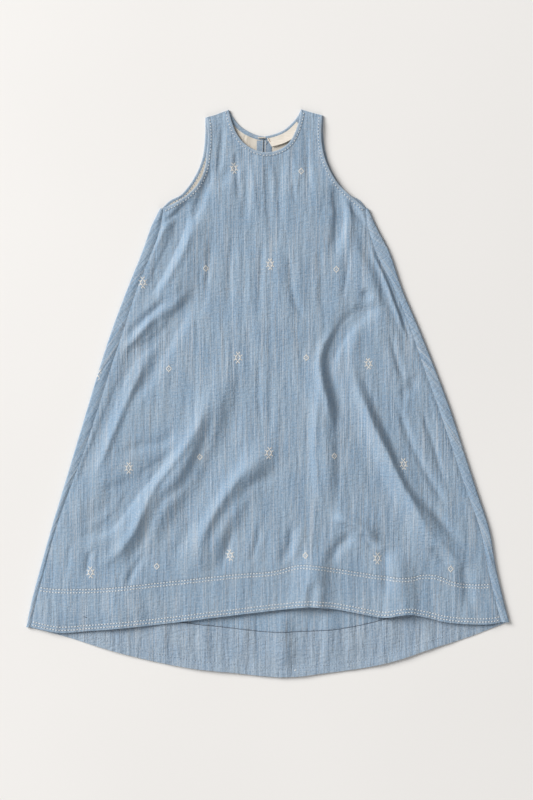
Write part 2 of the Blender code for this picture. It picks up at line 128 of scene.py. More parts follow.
# Neck and armhole edges, from the left shoulder to the right, and from the underarm up
NECK_FRONT = ((-78, 566), (-76, 556), (-71, 539), (-64, 522), (-47, 499), (-27, 486), (-7, 481),
              (18, 484), (41, 498), (56, 523), (64, 549), (67, 567))
NECK_BACK_LEFT = ((-78, 566), (-70, 552), (-55, 534), (-37, 522), (-19, 515), (-7.8, 513))
NECK_BACK_RIGHT = ((-5.4, 513), (15, 518), (36, 528), (48, 539), (58, 550), (67, 567))
ARM_FRONT_LEFT = ((-186, 380), (-158, 400), (-137, 429), (-124, 467), (-119, 521), (-122, 551))
ARM_FRONT_RIGHT = ((169, 391), (141, 417), (121, 451), (109, 490), (107, 520), (109, 555))
ARM_BACK_LEFT = ((-195, 385), (-178, 393), (-149, 427), (-131, 467), (-125, 507), (-124, 551))
ARM_BACK_RIGHT = ((188, 384), (174, 389), (146, 415), (125, 450), (113, 493), (110, 525), (111, 555))
SHOULDER_LEFT = ((-124, 551), (-104, 556), (-94, 560), (-78, 566))
SHOULDER_RIGHT = ((67, 567), (87, 561), (102, 557), (111, 555))

# Main folds of the front, as in the part's source: start, middle and end (x, y), half width, height, and
# how much steeper the side towards +X is. A negative height is a trough.
FOLDS = (
    ("long left wave", (-79, 80), (-155, -129), (-325, -355), 30, 12, 1.2),
    ("middle wave", (21, -80), (-63, -207), (-170, -385), 27, 11, 1.2),
    ("right of centre wave", (107, 90), (115, -73), (127, -270), 24, 8, 1.1),
    ("long right wave", (165, 75), (249, -137), (385, -350), 26, 12, 1.4),
    ("lap below the centre", (118, -245), (177, -260), (232, -300), 14, 6, 0.7),
    ("small lap on the right", (318, -295), (343, -323), (366, -350), 10, 3, 1.2),
    ("hem crest in the middle", (104, -300), (92, -393), (82, -520), 30, 12, 1.2),
    ("hem crest on the right", (250, -310), (267, -393), (281, -540), 30, 9, 1.2),
    ("hem crest on the left", (-260, -330), (-285, -420), (-300, -560), 46, 4, 1.0),
    ("puff along the right seam", (160, 330), (212, 207), (252, 100), 20, 5, 1.3),
    ("puff under the left armhole", (-120, 370), (-165, 250), (-215, 170), 26, 4, 1.0),
    ("puff in the middle", (40, 330), (20, 200), (-10, 60), 60, 3, 1.0),
    ("trough from the left armhole", (-150, 400), (-192, 297), (-265, 150), 16, -5, 1.0),
    ("trough across the left", (-130, 215), (-203, 127), (-295, 50), 24, -4, 1.0),
    ("trough beside the left seam", (-250, 125), (-317, -35), (-400, -235), 16, -4, 1.0),
    ("trough above the left wave", (-180, -110), (-299, -205), (-395, -300), 22, -5, 1.0),
    ("trough right of the left wave", (-55, 40), (-120, -160), (-262, -360), 20, -3, 1.0),
    ("trough left of the right wave", (150, 30), (205, -140), (300, -330), 22, -3, 1.0),
    ("trough from the right armhole", (128, 425), (144, 371), (134, 290), 12, -4, 1.0),
    ("short trough at the right underarm", (158, 392), (187, 348), (208, 322), 9, -3, 1.0),
    ("crescent on the right", (225, 175), (147, 127), (117, 40), 18, -5, 1.0),
    ("trough below the left shoulder", (-106, 465), (-131, 397), (-156, 330), 14, -3, 1.0),
    ("left neck tuck", (-41, 472), (-43, 397), (-48, 310), 8, -3, 1.0),
    ("middle neck tuck", (0, 472), (1, 400), (1, 310), 7, -2.5, 1.0),
    ("right neck tuck", (20, 472), (22, 400), (24, 325), 7, -2.5, 1.0),
)

# Creases of the front, finer than its folds: half width, height, steepness towards +X, places (x, y)
CREASES = (
    ("tuck beside the left neck tuck", 5, 0.7, 1.0, ((-31, 461), (-27, 397), (-21, 335))),
    ("short tuck left of the neck", 4.5, -1.4, 1.0, ((-63, 487), (-61, 431), (-57, 375))),
    ("tuck right of the neck", 4.5, -0.8, 1.0, ((45, 483), (49, 427), (53, 367))),
    ("tuck under the right strap", 5, -1.4, 1.0, ((77, 531), (79, 467), (83, 395))),
    ("tuck under the left strap", 5, -1.4, 1.0, ((-91, 543), (-93, 487), (-101, 427))),
    ("crease below the left shoulder", 7, -2.8, 1.0, ((-109, 455), (-129, 397), (-153, 337))),
    ("crease off the left armhole", 6, -3.0, 1.0, ((-150, 385), (-181, 359), (-211, 337))),
    ("long crease from the left armhole", 9, -4.4, 1.0, ((-156, 384), (-172, 330), (-191, 288), (-210, 250),
     (-226, 220), (-242, 190))),
    ("rim beside the long crease", 8, 1.6, 1.0, ((-141, 359), (-157, 311), (-179, 263), (-205, 219),
     (-231, 175))),
    ("band across the left", 8, 2.9, 1.0, ((-219, 156), (-238, 139), (-259, 115), (-295, 79))),
    ("dip above that band", 7, -2.6, 1.0, ((-195, 191), (-223, 169), (-255, 139), (-283, 111))),
    ("dip under that band", 8, -2.5, 1.0, ((-183, 143), (-219, 111), (-255, 83), (-287, 59))),
    ("crease along the left seam", 5.5, -3.0, 1.0, ((-250, 117), (-278, 45), (-299, 9), (-317, -35),
     (-328, -61), (-345, -99), (-361, -135), (-374, -165), (-403, -241))),
    ("rim along the left seam", 7, 2.1, 1.0, ((-235, 87), (-259, 31), (-283, -21), (-307, -77), (-329, -129),
     (-351, -177))),
    ("short upright crease at the left hem", 4.5, -1.2, 1.0, ((-396, -297), (-397, -325), (-396, -355))),
    ("valley right of the long left wave", 12, -3.4, 1.0, ((-106, 40), (-106, -4), (-112, -49), (-125, -90),
     (-147, -140), (-177, -186), (-207, -211), (-233, -256), (-254, -297), (-288, -347), (-308, -372))),
    ("crest of the long left wave", 10, 2.8, 1.3, ((-116, 20), (-132, -49), (-163, -105), (-198, -150),
     (-228, -191), (-249, -236), (-274, -287), (-322, -337), (-352, -352))),
    ("valley above the left wave", 11, -5.4, 1.0, ((-169, -98), (-209, -138), (-245, -173), (-280, -219),
     (-310, -258), (-346, -279), (-385, -290))),
    ("fine crease across the left", 10, -1.7, 1.0, ((-178, -62), (-204, -94), (-250, -105), (-309, -125))),
    ("second fine crease across the left", 9, -1.3, 1.0, ((-262, -172), (-300, -186), (-340, -194))),
    ("crest of the middle wave", 11, 2.6, 1.3, ((-4, -120), (-52, -160), (-80, -196), (-108, -240),
     (-126, -274), (-140, -327))),
    ("valley right of the middle wave", 13, -3.4, 1.0, ((40, -140), (8, -162), (-28, -176), (-54, -202),
     (-75, -227), (-95, -257), (-111, -287), (-120, -317), (-128, -347))),
    ("valley left of the middle wave", 13, -2.0, 1.0, ((-146, -240), (-160, -275), (-175, -305),
     (-190, -330))),
    ("upright crease left of centre", 5, -1.2, 1.0, ((-17, 83), (-19, 3), (-15, -85))),
    ("upright crease at the centre", 5, -1.0, 1.0, ((5, 75), (7, -9), (3, -93))),
    ("long crease right of centre", 5.5, -1.4, 1.0, ((41, 291), (45, 243), (53, 187), (91, 123))),
    ("upright crease in the upper middle", 5.5, -1.0, 1.0, ((-11, 307), (-15, 227), (-23, 127))),
    ("upright crease left of the middle", 5.5, -1.0, 1.0, ((-71, 317), (-75, 237), (-83, 127))),
    ("soft crease left of the middle", 6, -1.3, 1.0, ((-111, 307), (-121, 227), (-135, 143))),
    ("crease from the right armhole", 10, -3.0, 1.0, ((130, 415), (137, 387), (144, 367), (142, 335),
     (135, 297), (125, 251))),
    ("rim beside the right armhole crease", 10, 1.2, 1.0, ((151, 395), (161, 359), (161, 315), (153, 263))),
    ("crease to the right underarm", 4.5, -2.4, 1.0, ((161, 387), (171, 369), (187, 348), (203, 329))),
    ("crescent crease on the right", 11, -4.6, 1.0, ((233, 179), (216, 170), (186, 158), (164, 139),
     (142, 109), (126, 78), (124, 52), (128, 14), (136, -24), (140, -66), (145, -110))),
    ("rim over the crescent", 8, 3.0, 1.0, ((150, 150), (130, 124), (108, 86), (102, 59), (108, 21),
     (119, -16), (127, -50), (131, -88))),
    ("dark spot on the right", 9, -2.6, 1.0, ((191, 207), (197, 197), (205, 185))),
    ("lap along the right seam", 6, 2.7, 1.8, ((203, 300), (215, 272), (226, 250), (236, 225), (245, 200),
     (259, 162), (271, 130), (288, 92))),
    ("crest right of centre", 7, 1.4, 1.3, ((109, 63), (101, -9), (95, -93), (101, -185), (115, -241))),
    ("valley right of that crest", 9, -1.2, 1.0, ((141, -80), (142, -120), (141, -169), (136, -241))),
    ("valley left of the long right wave", 8, -0.8, 1.0, ((157, 43), (177, -23), (197, -93), (225, -161),
     (257, -225), (293, -293))),
    ("crest of the long right wave", 9, 2.4, 1.4, ((168, 71), (178, 14), (193, -24), (215, -77), (236, -115),
     (259, -164), (280, -202), (305, -249), (337, -299), (369, -339))),
    ("valley of the long right wave", 9.5, -3.0, 1.0, ((177, 88), (185, 41), (200, 6), (215, -36), (234, -77),
     (253, -119), (269, -161), (291, -198), (321, -229), (347, -255), (365, -279), (387, -305), (409, -343))),
    ("second valley right of the long wave", 7, -2.0, 1.0, ((249, 3), (269, -53), (289, -105), (313, -153),
     (341, -201), (365, -241))),
    ("lap below the centre", 6, 3.6, 0.6, ((125, -249), (151, -253), (177, -265), (201, -281), (223, -303))),
    ("shadow under that lap", 10, -3.4, 1.0, ((176, -281), (152, -296), (134, -318), (126, -345))),
    ("shadow right of that lap", 7, -2.2, 1.0, ((181, -277), (201, -295), (219, -315))),
    ("small crease at the right hem", 8, -3.2, 1.0, ((322, -301), (343, -323), (363, -346))),
    ("rim of the small crease", 5, 1.6, 1.0, ((333, -289), (357, -311), (379, -335))),
    ("dark patch on the right", 9, -1.6, 1.0, ((283, 35), (289, 19), (293, 3))),
    ("second dark patch on the right", 8, -1.3, 1.0, ((269, 11), (273, -1), (279, -13))),
    ("crease ending at the hem", 8, -2.0, 1.0, ((51, -257), (43, -303), (25, -345))),
    ("crease beside it", 5, -1.2, 1.0, ((-11, -253), (-23, -303), (-39, -349))),
    ("crest beside it", 7, 1.4, 1.0, ((67, -253), (61, -303), (51, -337))),
    ("upright dip over the hem", 11, -2.8, 1.0, ((233, -303), (235, -345), (237, -413))),
    ("dip near the right corner", 11, -2.6, 1.0, ((389, -333), (397, -377), (401, -437))),
    ("upright crease at the left", 5, -1.7, 1.0, ((-351, -309), (-359, -337), (-365, -373))),
    ("soft crease at the left hem", 7, -1.8, 1.0, ((-243, -317), (-267, -353), (-283, -393))),
    ("fine crease in the lower middle", 5, -1.0, 1.0, ((-71, -273), (-83, -317), (-91, -353))),
    ("upright crease in the right half", 5.5, -1.1, 1.0, ((161, 287), (157, 227), (145, 175))),
    ("soft crease in the right half", 6, -0.9, 1.0, ((101, 311), (105, 237), (109, 147))),
    ("crease towards the right seam", 6, -1.7, 1.0, ((245, 127), (257, 67), (273, 19))),
    ("upright crease over the hem crest", 10, -2.8, 1.0, ((94, -368), (88, -410), (85, -446))),
    ("ridge at the left underarm", 8, 1.7, 1.0, ((-176, 392), (-191, 353), (-225, 300), (-246, 262))),
    ("ridge under the left armhole", 10, 0.7, 1.0, ((-128, 352), (-147, 318), (-172, 268), (-196, 226))),
    ("ridge across the left", 9, 1.6, 1.0, ((-150, 210), (-196, 168), (-236, 146))),
    ("dip across the left", 14, -3.0, 1.0, ((-126, 226), (-160, 178), (-186, 132), (-204, 94), (-226, 50),
     (-260, 0), (-300, -40))),
    ("ridge at the right shoulder", 8, 1.0, 1.0, ((88, 470), (96, 410), (98, 350))),
    ("ridge left of the crescent", 10, 1.0, 1.0, ((185, 130), (168, 90), (166, 50), (172, 10))),
    ("dip beside the lap along the right seam", 5, -1.8, 1.0, ((210, 296), (231, 250), (250, 200), (276, 130),
     (293, 92))),
    ("soft dip from the neck to the left", 12, -1.3, 1.0, ((-28, 480), (-58, 456), (-90, 430), (-122, 398))),
    ("soft dip right of the neck", 10, -1.0, 1.0, ((20, 474), (26, 440), (31, 396))),
    ("soft dip in the lower left", 14, -1.5, 1.0, ((-62, -252), (-78, -300), (-98, -346), (-120, -372))),
    ("hem resting at the left", 22, -1.6, 1.0, ((-440, -478), (-360, -474), (-230, -460), (-120, -449))),
    ("soft crease beside the right seam", 6, -1.5, 1.0, ((301, -13), (321, -73), (341, -137), (365, -205))),
)

# Creases of the back, seen on its inside below the front hem, and pressed into its underside
BACK_CREASES = (
    ("rim right of the dip below the hem crest", 14, 3.4, 0.8, ((122, -424), (121, -475), (118, -560))),
    ("crest left of that dip", 24, 6.5, 1.5, ((28, -428), (31, -485), (34, -572))),
    ("rim left of centre", 13, 1.7, 1.0, ((-48, -440), (-54, -500), (-58, -556))),
    ("second rim left of centre", 12, 1.5, 1.0, ((-120, -440), (-124, -490), (-128, -548))),
    ("rim at the left", 11, 1.4, 1.0, ((-210, -450), (-216, -490), (-220, -535))),
    ("rim right of centre", 10, 1.7, 1.0, ((160, -430), (166, -480), (170, -545))),
    ("rim at the right", 12, 1.9, 1.0, ((236, -440), (240, -480), (243, -530))),
    ("rim near the right corner", 10, 1.6, 1.0, ((320, -450), (324, -475), (326, -505))),
    ("crosswise crease at the centre", 5, 1.0, 1.0, ((-20, -512), (30, -518), (84, -514))),
    ("crosswise crease at the right", 5, 0.9, 1.0, ((130, -498), (180, -503), (220, -496))),
    ("crosswise crease at the left", 5, 0.8, 1.0, ((-190, -500), (-140, -507), (-96, -504))),
)
UNDER_CREASES = (
    ("long crease at the left", 9, 0.8, 1.0, ((-70, 60), (-140, -110), (-210, -260), (-280, -400))),
    ("crease across the left", 7, 0.6, 1.0, ((-120, 250), (-180, 170), (-270, 110))),
    ("long crease at the right", 10, 0.8, 1.0, ((120, 90), (200, -90), (280, -250), (350, -380))),
    ("crease at the centre", 6, 0.6, 1.0, ((10, 240), (4, 90), (-14, -60))),
    ("crease off the right armhole", 6, 0.6, 1.0, ((120, 400), (140, 320), (138, 240))),
    ("crease off the left armhole", 6, 0.6, 1.0, ((-130, 390), (-170, 310), (-230, 220))),
    ("low crease at the centre", 8, 0.7, 1.0, ((40, -160), (-10, -280), (-70, -420))),
    ("low crease at the right", 7, 0.5, 1.0, ((150, -200), (160, -320), (158, -450))),
    ("short crease at the hem", 6, 0.5, 1.0, ((-180, -380), (-196, -440), (-205, -500))),
)

# Fine crinkle left by washing: its waves run up and down the cloth
CRINKLE_WAVES = 28
CRINKLE_ACROSS = (16.0, 70.0)
CRINKLE_ALONG = (160.0, 600.0)
CRINKLE_SLOPE = 0.0022
CRINKLE_BENDS = ((9, 83, 150), (5, 37, -61))

# Topstitching: pitch and length of the stitches in a row, how far each row lies from its edge or seam,
# and how thick the thread shows
SEAM_ROW = (6.0, 3.7)
BINDING_ROW = (6.5, 2.7)
FACING_ROW = (3.3, 3.4)
BAND_SEAM_ROW = (4.2, 3.8)
# Pitch and length of the dark marks of the placket's painted shade line, laid end to end
PLACKET_ROW = (2.6, 2.6)
ROW_START = 2.0
PLACKET_ROW_START = 0.2
BINDING_STITCH = 6.1
BAND_STITCHES = (1.8, 7.7)
HEM_STITCHES = (5.0, 11.3)
FACING_STITCH = 1.4
UNDER_FACING_STITCH = 2.2
HEM_TURN = 16.0
# Length and height of the dark marks that paint shade into the needle holes
NEEDLE_HOLE = 1.4
NEEDLE_HOLE_HIGH = 0.15
DARK_THREAD_WIDE = 1.4
THREAD_WIDE = 1.8
THREAD_HIGH = 0.65

# Small woven motifs, a letter for each thread that floats on the cloth, with the size of their floss and
# cells, how unevenly they lie, and their centres on the front
STAR = (
    "...#...#...",
    "...##.##...",
    "....###....",
    ".....#.....",
    "##.##.##.##",
    ".####.####.",
    "..##...##..",
    "..#..#..#..",
    "..##...##..",
    ".####.####.",
    "##.##.##.##",
    ".....#.....",
    "....###....",
    "...##.##...",
    "...#...#...",
)
DIAMOND = (
    "...#...",
    "..###..",
    ".##.##.",
    "##...##",
    "#..#..#",
    "##...##",
    ".##.##.",
    "..###..",
    "...#...",
)
CELL = 1.55
FLOSS_HIGH = 0.5
FLOSS_WIDE = 1.05 * CELL
FLOSS_LONGER = 0.25
FLOSS_TURN = 0.03
MOTIF_TURN = 0.05
MOTIF_SPREAD = (0.94, 1.04)
MOTIF_MARGIN = 14.0
ARMHOLE_REACH = 105.0
STARS = ((-67, 449), (5, 257), (-249, 221), (-335, 37), (-59, 71), (201, 59), (-277, -149), (3, -119),
         (271, -141), (-353, -357), (-75, -323), (219, -329))
DIAMONDS = ((67, 443), (-123, 249), (137, 247), (-197, 49), (77, 71), (-135, -127), (133, -125),
            (-221, -345), (75, -323), (365, -350))

# How deep the creases go, how the seams pull in, how the hem curls, and the limits of all of these
CREASE_DEPTH = 2.0
SEAM_DIP = 1.3
SEAM_DIP_WIDE = 4.0
HEM_CURL = 5.0
HEM_CURL_REACH = 26.0
HEM_CURL_ENDS = 400.0
HEM_CURL_FADE = 90.0
HEM_CURL_WAVES = (41, 97)
CREASE_CALM = 10.0
SOFT_FLOOR = 1.2
LOWEST_CREASE = 2.9
OVER_SLIT = (75.0, 60.0)
HIGHEST_UNDER_CREASE = 1.2
LOWEST_BACK_DIP = -0.1
BACK_CRINKLE_SHARE = 0.8

# Rolled sides, the cloth's columns that stay at each side of the slit, and the thin pieces sewn on
FLAP_STEPS = 6
FLAP_PUFF = 0.5
FLAP_WAVES = (31, 73)
SLIT_OPENS = (2, 3)
BAND_STEP = 0.35
INNER_CLOTH = 0.8
FACING_GAP = 0.15
PLACKET_GAP = 0.1
THIN_RIM = 0.1
SEWN_RIM = 0.25
PLACKET_STEPS = 8
PLACKET_TURN = 0.7
PLACKET_TURN_WIDE = 2.5
PLACKET_SET_BACK = 0.8
LABEL_STEPS = (6, 24)
LABEL_CURL = 1.2
LABEL_THICK = 0.6
ON_LABEL = ON_PLACKET + TRIM + GAP

# Thread bar, a little slimmer than its solid
BAR_RADIUS = 1.5
BAR_RINGS = 65
BAR_TURNS = 11
BAR_SIDES = 10

# Section of a binding: share of its width inwards from the edge, height over the cloth. Its stitches
# lie in a dent.
FRONT_BINDING = ((1.0, 0.05), (0.97, 0.45), (0.87, 0.72), (0.76, 0.5), (0.65, 0.75), (0.3, 0.85), (0.1, 0.8),
                 (-0.03, 0.4), (-0.07, -0.3), (-0.03, -1.1), (0.1, -1.5), (0.9, -1.5), (0.98, -1.2))
BACK_BINDING = ((1.0, 0.85), (0.97, 1.0), (0.87, 1.2), (0.76, 1.0), (0.65, 1.2), (0.3, 1.25), (0.1, 1.15),
                (-0.03, 0.6), (-0.07, -0.2), (-0.03, -1.0), (0.1, -1.34), (0.9, -1.34), (1.0, -1.2))
BINDING_TOP = 0.55
BACK_BINDING_TOP = 1.05
# Where the stitch dent lies across a strip, and how wide the painted shade in it is
STITCH_DENT = 0.76
STITCH_DENT_WIDE = 0.12

# How far the left armhole stands open, over which heights, and the columns of lining that show in it
LINING_SHOWS = 3
ARMHOLE_GAPE = 4.5
ARMHOLE_GAPE_WIDE = 18.0
ARMHOLE_GAPES = (368.0, 480.0)
LINING_WIDENS = (20.0, 30.0)
LINING_CREASES = (
    ("tuck left of the slit", 1.8, -1.1, 1.0, ((-43, 519), (-45.5, 509), (-47, 500))),
    ("rim of that tuck", 2.5, 0.7, 1.0, ((-40, 519), (-42.5, 509), (-44, 500))),
    ("soft tuck at the right", 3.5, 0.4, 1.0, ((34, 520), (36, 505), (37, 490))),
)

# Motifs on the back, in the same half drop: where the stars and the diamonds start, and the repeat
BACK_STARS_START = -5
BACK_DIAMONDS_START = 65
BACK_TOP_MOTIFS = 400
BACK_REPEAT = (140, 194)

# Maps of the cloth: along its grain, and along and across a strip
GRAIN_MAP = "grain"
STRIP_MAP = "strip"

# Looks: tones of the cloth, how much of each shows, and how high its relief stands in millimetres
CHAMBRAY = {"deep": (0.252, 0.364, 0.490, 1), "washed": (0.288, 0.394, 0.506, 1),
            "dark": (0.140, 0.228, 0.345, 1), "pale": (0.50, 0.54, 0.585, 1), "weft": (0.39, 0.42, 0.45, 1),
            "dark_share": 0.6, "pale_share": 0.6, "weft_share": 0.35, "crinkle": 2.7, "slub": 0.2,
            "weave": 0.05}
CHAMBRAY_INSIDE = {**CHAMBRAY, "deep": (0.290, 0.385, 0.495, 1), "washed": (0.330, 0.420, 0.515, 1),
                   "pale_share": 0.5, "dark_share": 0.5, "crinkle": 3.4}
# The trim's rim share lightens the outer edge of the bindings: edge wear together with a painted highlight.
CHAMBRAY_TRIM = {**CHAMBRAY, "deep": (0.24, 0.325, 0.42, 1), "wear_and_highlight_share": 0.3, "crinkle": 0.4}
LINING_DEEP = (0.60, 0.555, 0.48, 1)
LINING_PALE = (0.68, 0.635, 0.56, 1)
LINING_YARN = (0.50, 0.45, 0.38, 1)
LABEL_DEEP = (0.68, 0.63, 0.55, 1)
LABEL_PALE = (0.83, 0.77, 0.69, 1)
THREADS = {
    "white_topstitch": ((0.70, 0.70, 0.68, 1), (0.86, 0.86, 0.84, 1), 0.65),
    "blue_thread": ((0.25, 0.33, 0.42, 1), (0.38, 0.46, 0.55, 1), 0.65),
    "motif_floss": ((0.60, 0.59, 0.56, 1), (0.78, 0.76, 0.72, 1), 0.75),
    "dark_blue_thread": ((0.055, 0.075, 0.11, 1), (0.10, 0.13, 0.18, 1), 0.65),
    "brown_thread": ((0.30, 0.20, 0.12, 1), (0.45, 0.33, 0.22, 1), 0.65),
    "cream_bar_thread": (LINING_YARN, LINING_PALE, 0.65),
}
FLOOR_DEEP = (0.81, 0.80, 0.785, 1)
FLOOR_PALE = (0.83, 0.82, 0.805, 1)

# Camera, light and floor
SENSOR = 36.0
LENS = 70.0
FRAME_TALL = 1.6
FRAME_CENTRE = (-0.0024, -0.0134)
FLOOR_SIZE = 12.0
LIGHTS = (
    ("soft_window", (-10.8, 6.4, 7.6), (0.0, 0.0, 0.0), 8.5, 3000.0, (1.0, 0.985, 0.97)),
    ("white_card", (1.0, -9.0, 5.0), (0.0, 0.0, 0.0), 7.0, 270.0, (1.0, 0.99, 0.98)),
)
ROOM_COLOUR = (1.0, 0.99, 0.98, 1)
ROOM_STRENGTH = 0.27
EXPOSURE = 0.0

# Lines of the small seams and of a painted shade line, and single threads with a place, direction and length
# for each
BAND_SEAMS = (((-433, -400), (-433, -466)), ((453, -404), (455, -450)))
BAND_SLUB = ((-363.4, -446.2, -0.3, 9.0),)
HEM_KNOT = ((54.6, -553.5, 0.7, 3.2), (55.4, -552.6, -0.6, 2.8))
# A dark thread line on the right placket at the slit's top: painted shade along the placket's diagonal fold
# beside the slit.
PLACKET_FOLD_SHADE = ((1.8, 505.0), (-3.0, 496.0))
LABEL_STITCHES = ((1.9, 508.4, -1.1, 2.4), (3.2, 505.6, -1.1, 2.4), (4.6, 502.8, -1.1, 2.4))


def ease(t):
    """From 0 to 1 with a soft start and end."""
    t = np.clip(t, 0.0, 1.0)
    return t * t * (3 - 2 * t)


def smooth(points, steps=12):
    """A smooth curve through the points, as short steps."""
    p = np.array(points, float)
    span = np.linalg.norm(np.diff(p, axis=0), axis=1)
    slope = np.gradient(p, np.concatenate([[0], np.cumsum(span)]), axis=0)
    t = np.linspace(0, 1, steps, endpoint=False)[:, None]
    parts = []
    for k, length in enumerate(span):
        start = (2 * t**3 - 3 * t**2 + 1) * p[k] + (t**3 - 2 * t**2 + t) * length * slope[k]
        finish = (3 * t**2 - 2 * t**3) * p[k + 1] + (t**3 - t**2) * length * slope[k + 1]
        parts.append(start + finish)
    return np.vstack([*parts, p[-1:]])


def distances(curve):
    return np.concatenate([[0], np.cumsum(np.linalg.norm(np.diff(curve, axis=0), axis=1))])


def places_on(curve, at):
    """The points at these distances along the curve."""
    along = distances(curve)
    return np.stack([np.interp(at, along, curve[:, k]) for k in range(curve.shape[1])], axis=1)


def evenly(curve, count, start=0.0, end_margin=0.0):
    """Points that cut a stretch of the curve into equal steps."""
    return places_on(curve, np.linspace(start, distances(curve)[-1] - end_margin, count + 1))


def moved_sideways(curve, by):
    """The curve moved to the right of its own direction, with full corners."""
    step = np.diff(curve, axis=0)
    unit = step / np.linalg.norm(step, axis=1)[:, None]
    side = np.stack([unit[:, 1], -unit[:, 0]], axis=1)
    before = np.vstack([side[:1], side])
    after = np.vstack([side, side[-1:]])
    middle = before + after
    middle /= np.linalg.norm(middle, axis=1)[:, None]
    reach = by / np.clip((middle * after).sum(axis=1), 0.6, 1.0)
    return curve + middle * reach[:, None]


def part_way(a, b, distance):
    """Points moved from a towards b by a distance."""
    way = b - a
    return a + way / np.linalg.norm(way, axis=-1)[..., None] * distance


SIDE_CURVES = smooth(SIDES)


def side_places(height):
    """Left edge, right edge, left seam and right seam at this height."""
    left, right, left_in, right_in = (np.interp(height, SIDE_CURVES[:, 0], SIDE_CURVES[:, k])
                                      for k in (1, 2, 3, 4))
    return left, right, left + left_in, right - right_in


def side_heights(corner, band_top):
    """Heights of the rows along a side, from the hem corner to the chest line."""
    band = np.linspace(corner, band_top, BAND_ROWS + 1)
    return np.concatenate([band, np.linspace(band_top, CHEST, BODY_ROWS + 1)[1:]])


def height_over(curve, x):
    """How far the curve lies above the straight line between its heights at the two sides."""
    fine = smooth(curve)
    y = np.interp(x, fine[:, 0], fine[:, 1])
    return y - y[0] - (y[-1] - y[0]) * (x - x[0]) / (x[-1] - x[0])


def lower_rows(left_x, right_x, hem, band, chest_x):
    """Rows of points from the hem up to just below the chest line."""
    left_y, right_y = (side_heights(HEM_CORNERS[k], BAND_TOPS[k]) for k in (0, 1))
    even = np.linspace(0, 1, len(chest_x))
    at_chest = (chest_x - chest_x[0]) / (chest_x[-1] - chest_x[0])
    last = len(left_y) - 1
    rows = []
    for i in range(last):
        share = even + (at_chest - even) * ease(i / last)
        x = left_x(left_y[i]) + (right_x(right_y[i]) - left_x(left_y[i])) * share
        y = left_y[i] + (right_y[i] - left_y[i]) * share
        band_rise = height_over(band, x)
        if i < BAND_ROWS:
            hem_rise = height_over(hem, x)
            y = y + hem_rise + (band_rise - hem_rise) * i / BAND_ROWS
        else:
            y = y + band_rise * (last - i) / BODY_ROWS
        rows.append(np.stack([x, y], axis=1))
    return np.array(rows)


def armhole_rows(chest_point, corner, curve):
    """Places up one side: chest line, underarm corner, armhole edge, and the shoulder's end."""
    edge = smooth((corner, *curve))
    up = evenly(edge, ARMHOLE_ROWS, end_margin=BINDING)
    return np.vstack([[chest_point], up, edge[-1:]])


def shoulders(count):
    """Places along both shoulders, from left to right, with one a binding's width from each armhole."""
    left, right = smooth(SHOULDER_LEFT), smooth(SHOULDER_RIGHT)
    return (np.vstack([left[:1], evenly(left, count, start=BINDING)]),
            np.vstack([evenly(right, count, end_margin=BINDING), right[-1:]]))


def upper_rows(left, right, top, strap):
    """Rows of points from the chest line to the neck and shoulders. A strip as wide as the binding
    runs along the armholes, shoulders and neck, and the space inside it is blended between them."""
    in_left = moved_sideways(left, BINDING)[:-1]
    in_right = moved_sideways(right, -BINDING)[:-1]
    in_left[0] = left[0] + (BINDING, 0)
    in_right[0] = right[0] - (BINDING, 0)
    in_top = moved_sideways(top, BINDING)
    last = len(top) - 1
    in_left[-1] = in_top[1] = (in_left[-1] + in_top[1]) / 2
    in_right[-1] = in_top[last - 1] = (in_right[-1] + in_top[last - 1]) / 2
    for k in range(1, strap):
        share = k / strap
        for armhole, neck, here in ((1, 1 + strap, 1 + k), (last - 1, last - 1 - strap, last - 1 - k)):
            in_top[here] = in_top[armhole] + (in_top[neck] - in_top[armhole]) * share
    inner = in_top[1:last]
    u = ((inner[:, 0] - inner[0, 0]) / (inner[-1, 0] - inner[0, 0]))[:, None]
    chest = in_left[0] + (in_right[0] - in_left[0]) * u
    grid = np.zeros((len(left), last + 1, 2))
    for i in range(len(in_left)):
        rises = [(side[i, 1] - CHEST) / (side[-1, 1] - CHEST) for side in (in_left, in_right)]
        v = sum(rises) / 2
        across = in_left[i] * (1 - u) + in_right[i] * u
        upward = chest * (1 - v) + inner * v
        low_chord = in_left[0] * (1 - u) + in_right[0] * u
        high_chord = inner[0] * (1 - u) + inner[-1] * u
        grid[i, 1:last] = across + upward - low_chord * (1 - v) - high_chord * v
    grid[:, 0] = left
    grid[:, last] = right
    grid[-1] = top
    return grid


def dress_points(column, inset, armholes, strap, necks, hem, band):
    """Rows from the hem to the neck, columns from the left side to the right, inside two of the side curves."""
    def left_side(y):
        return side_places(y)[column] + inset

    def right_side(y):
        return side_places(y)[column + 1] - inset

    left, right = (armhole_rows((side(CHEST), CHEST), (side(UNDERARM), UNDERARM), armhole)
                   for side, armhole in zip((left_side, right_side), armholes))
    straps = shoulders(strap)
    straps[0][0], straps[1][-1] = left[-1], right[-1]
    top = np.vstack([straps[0][:-1], *necks, straps[1][1:]])
    upper = upper_rows(left, right, top, strap)
    return np.vstack([lower_rows(left_side, right_side, hem, band, upper[0, :, 0]), upper])


def front_points():
    """The front's grid, between the two side seams."""
    return dress_points(2, GAP / 2, (ARM_FRONT_LEFT, ARM_FRONT_RIGHT), FRONT_STRAP,
                        [evenly(smooth(NECK_FRONT), FRONT_NECK)], FRONT_HEM, BAND_TOP)


def back_points():
    """The back's grid where it lies flat, between the two rolled sides."""
    necks = [evenly(smooth(half), BACK_NECK_HALF) for half in (NECK_BACK_LEFT, NECK_BACK_RIGHT)]
    return dress_points(0, SIDE_ROLL, (ARM_BACK_LEFT, ARM_BACK_RIGHT), BACK_STRAP, necks, BACK_HEM, FACING_TOP)


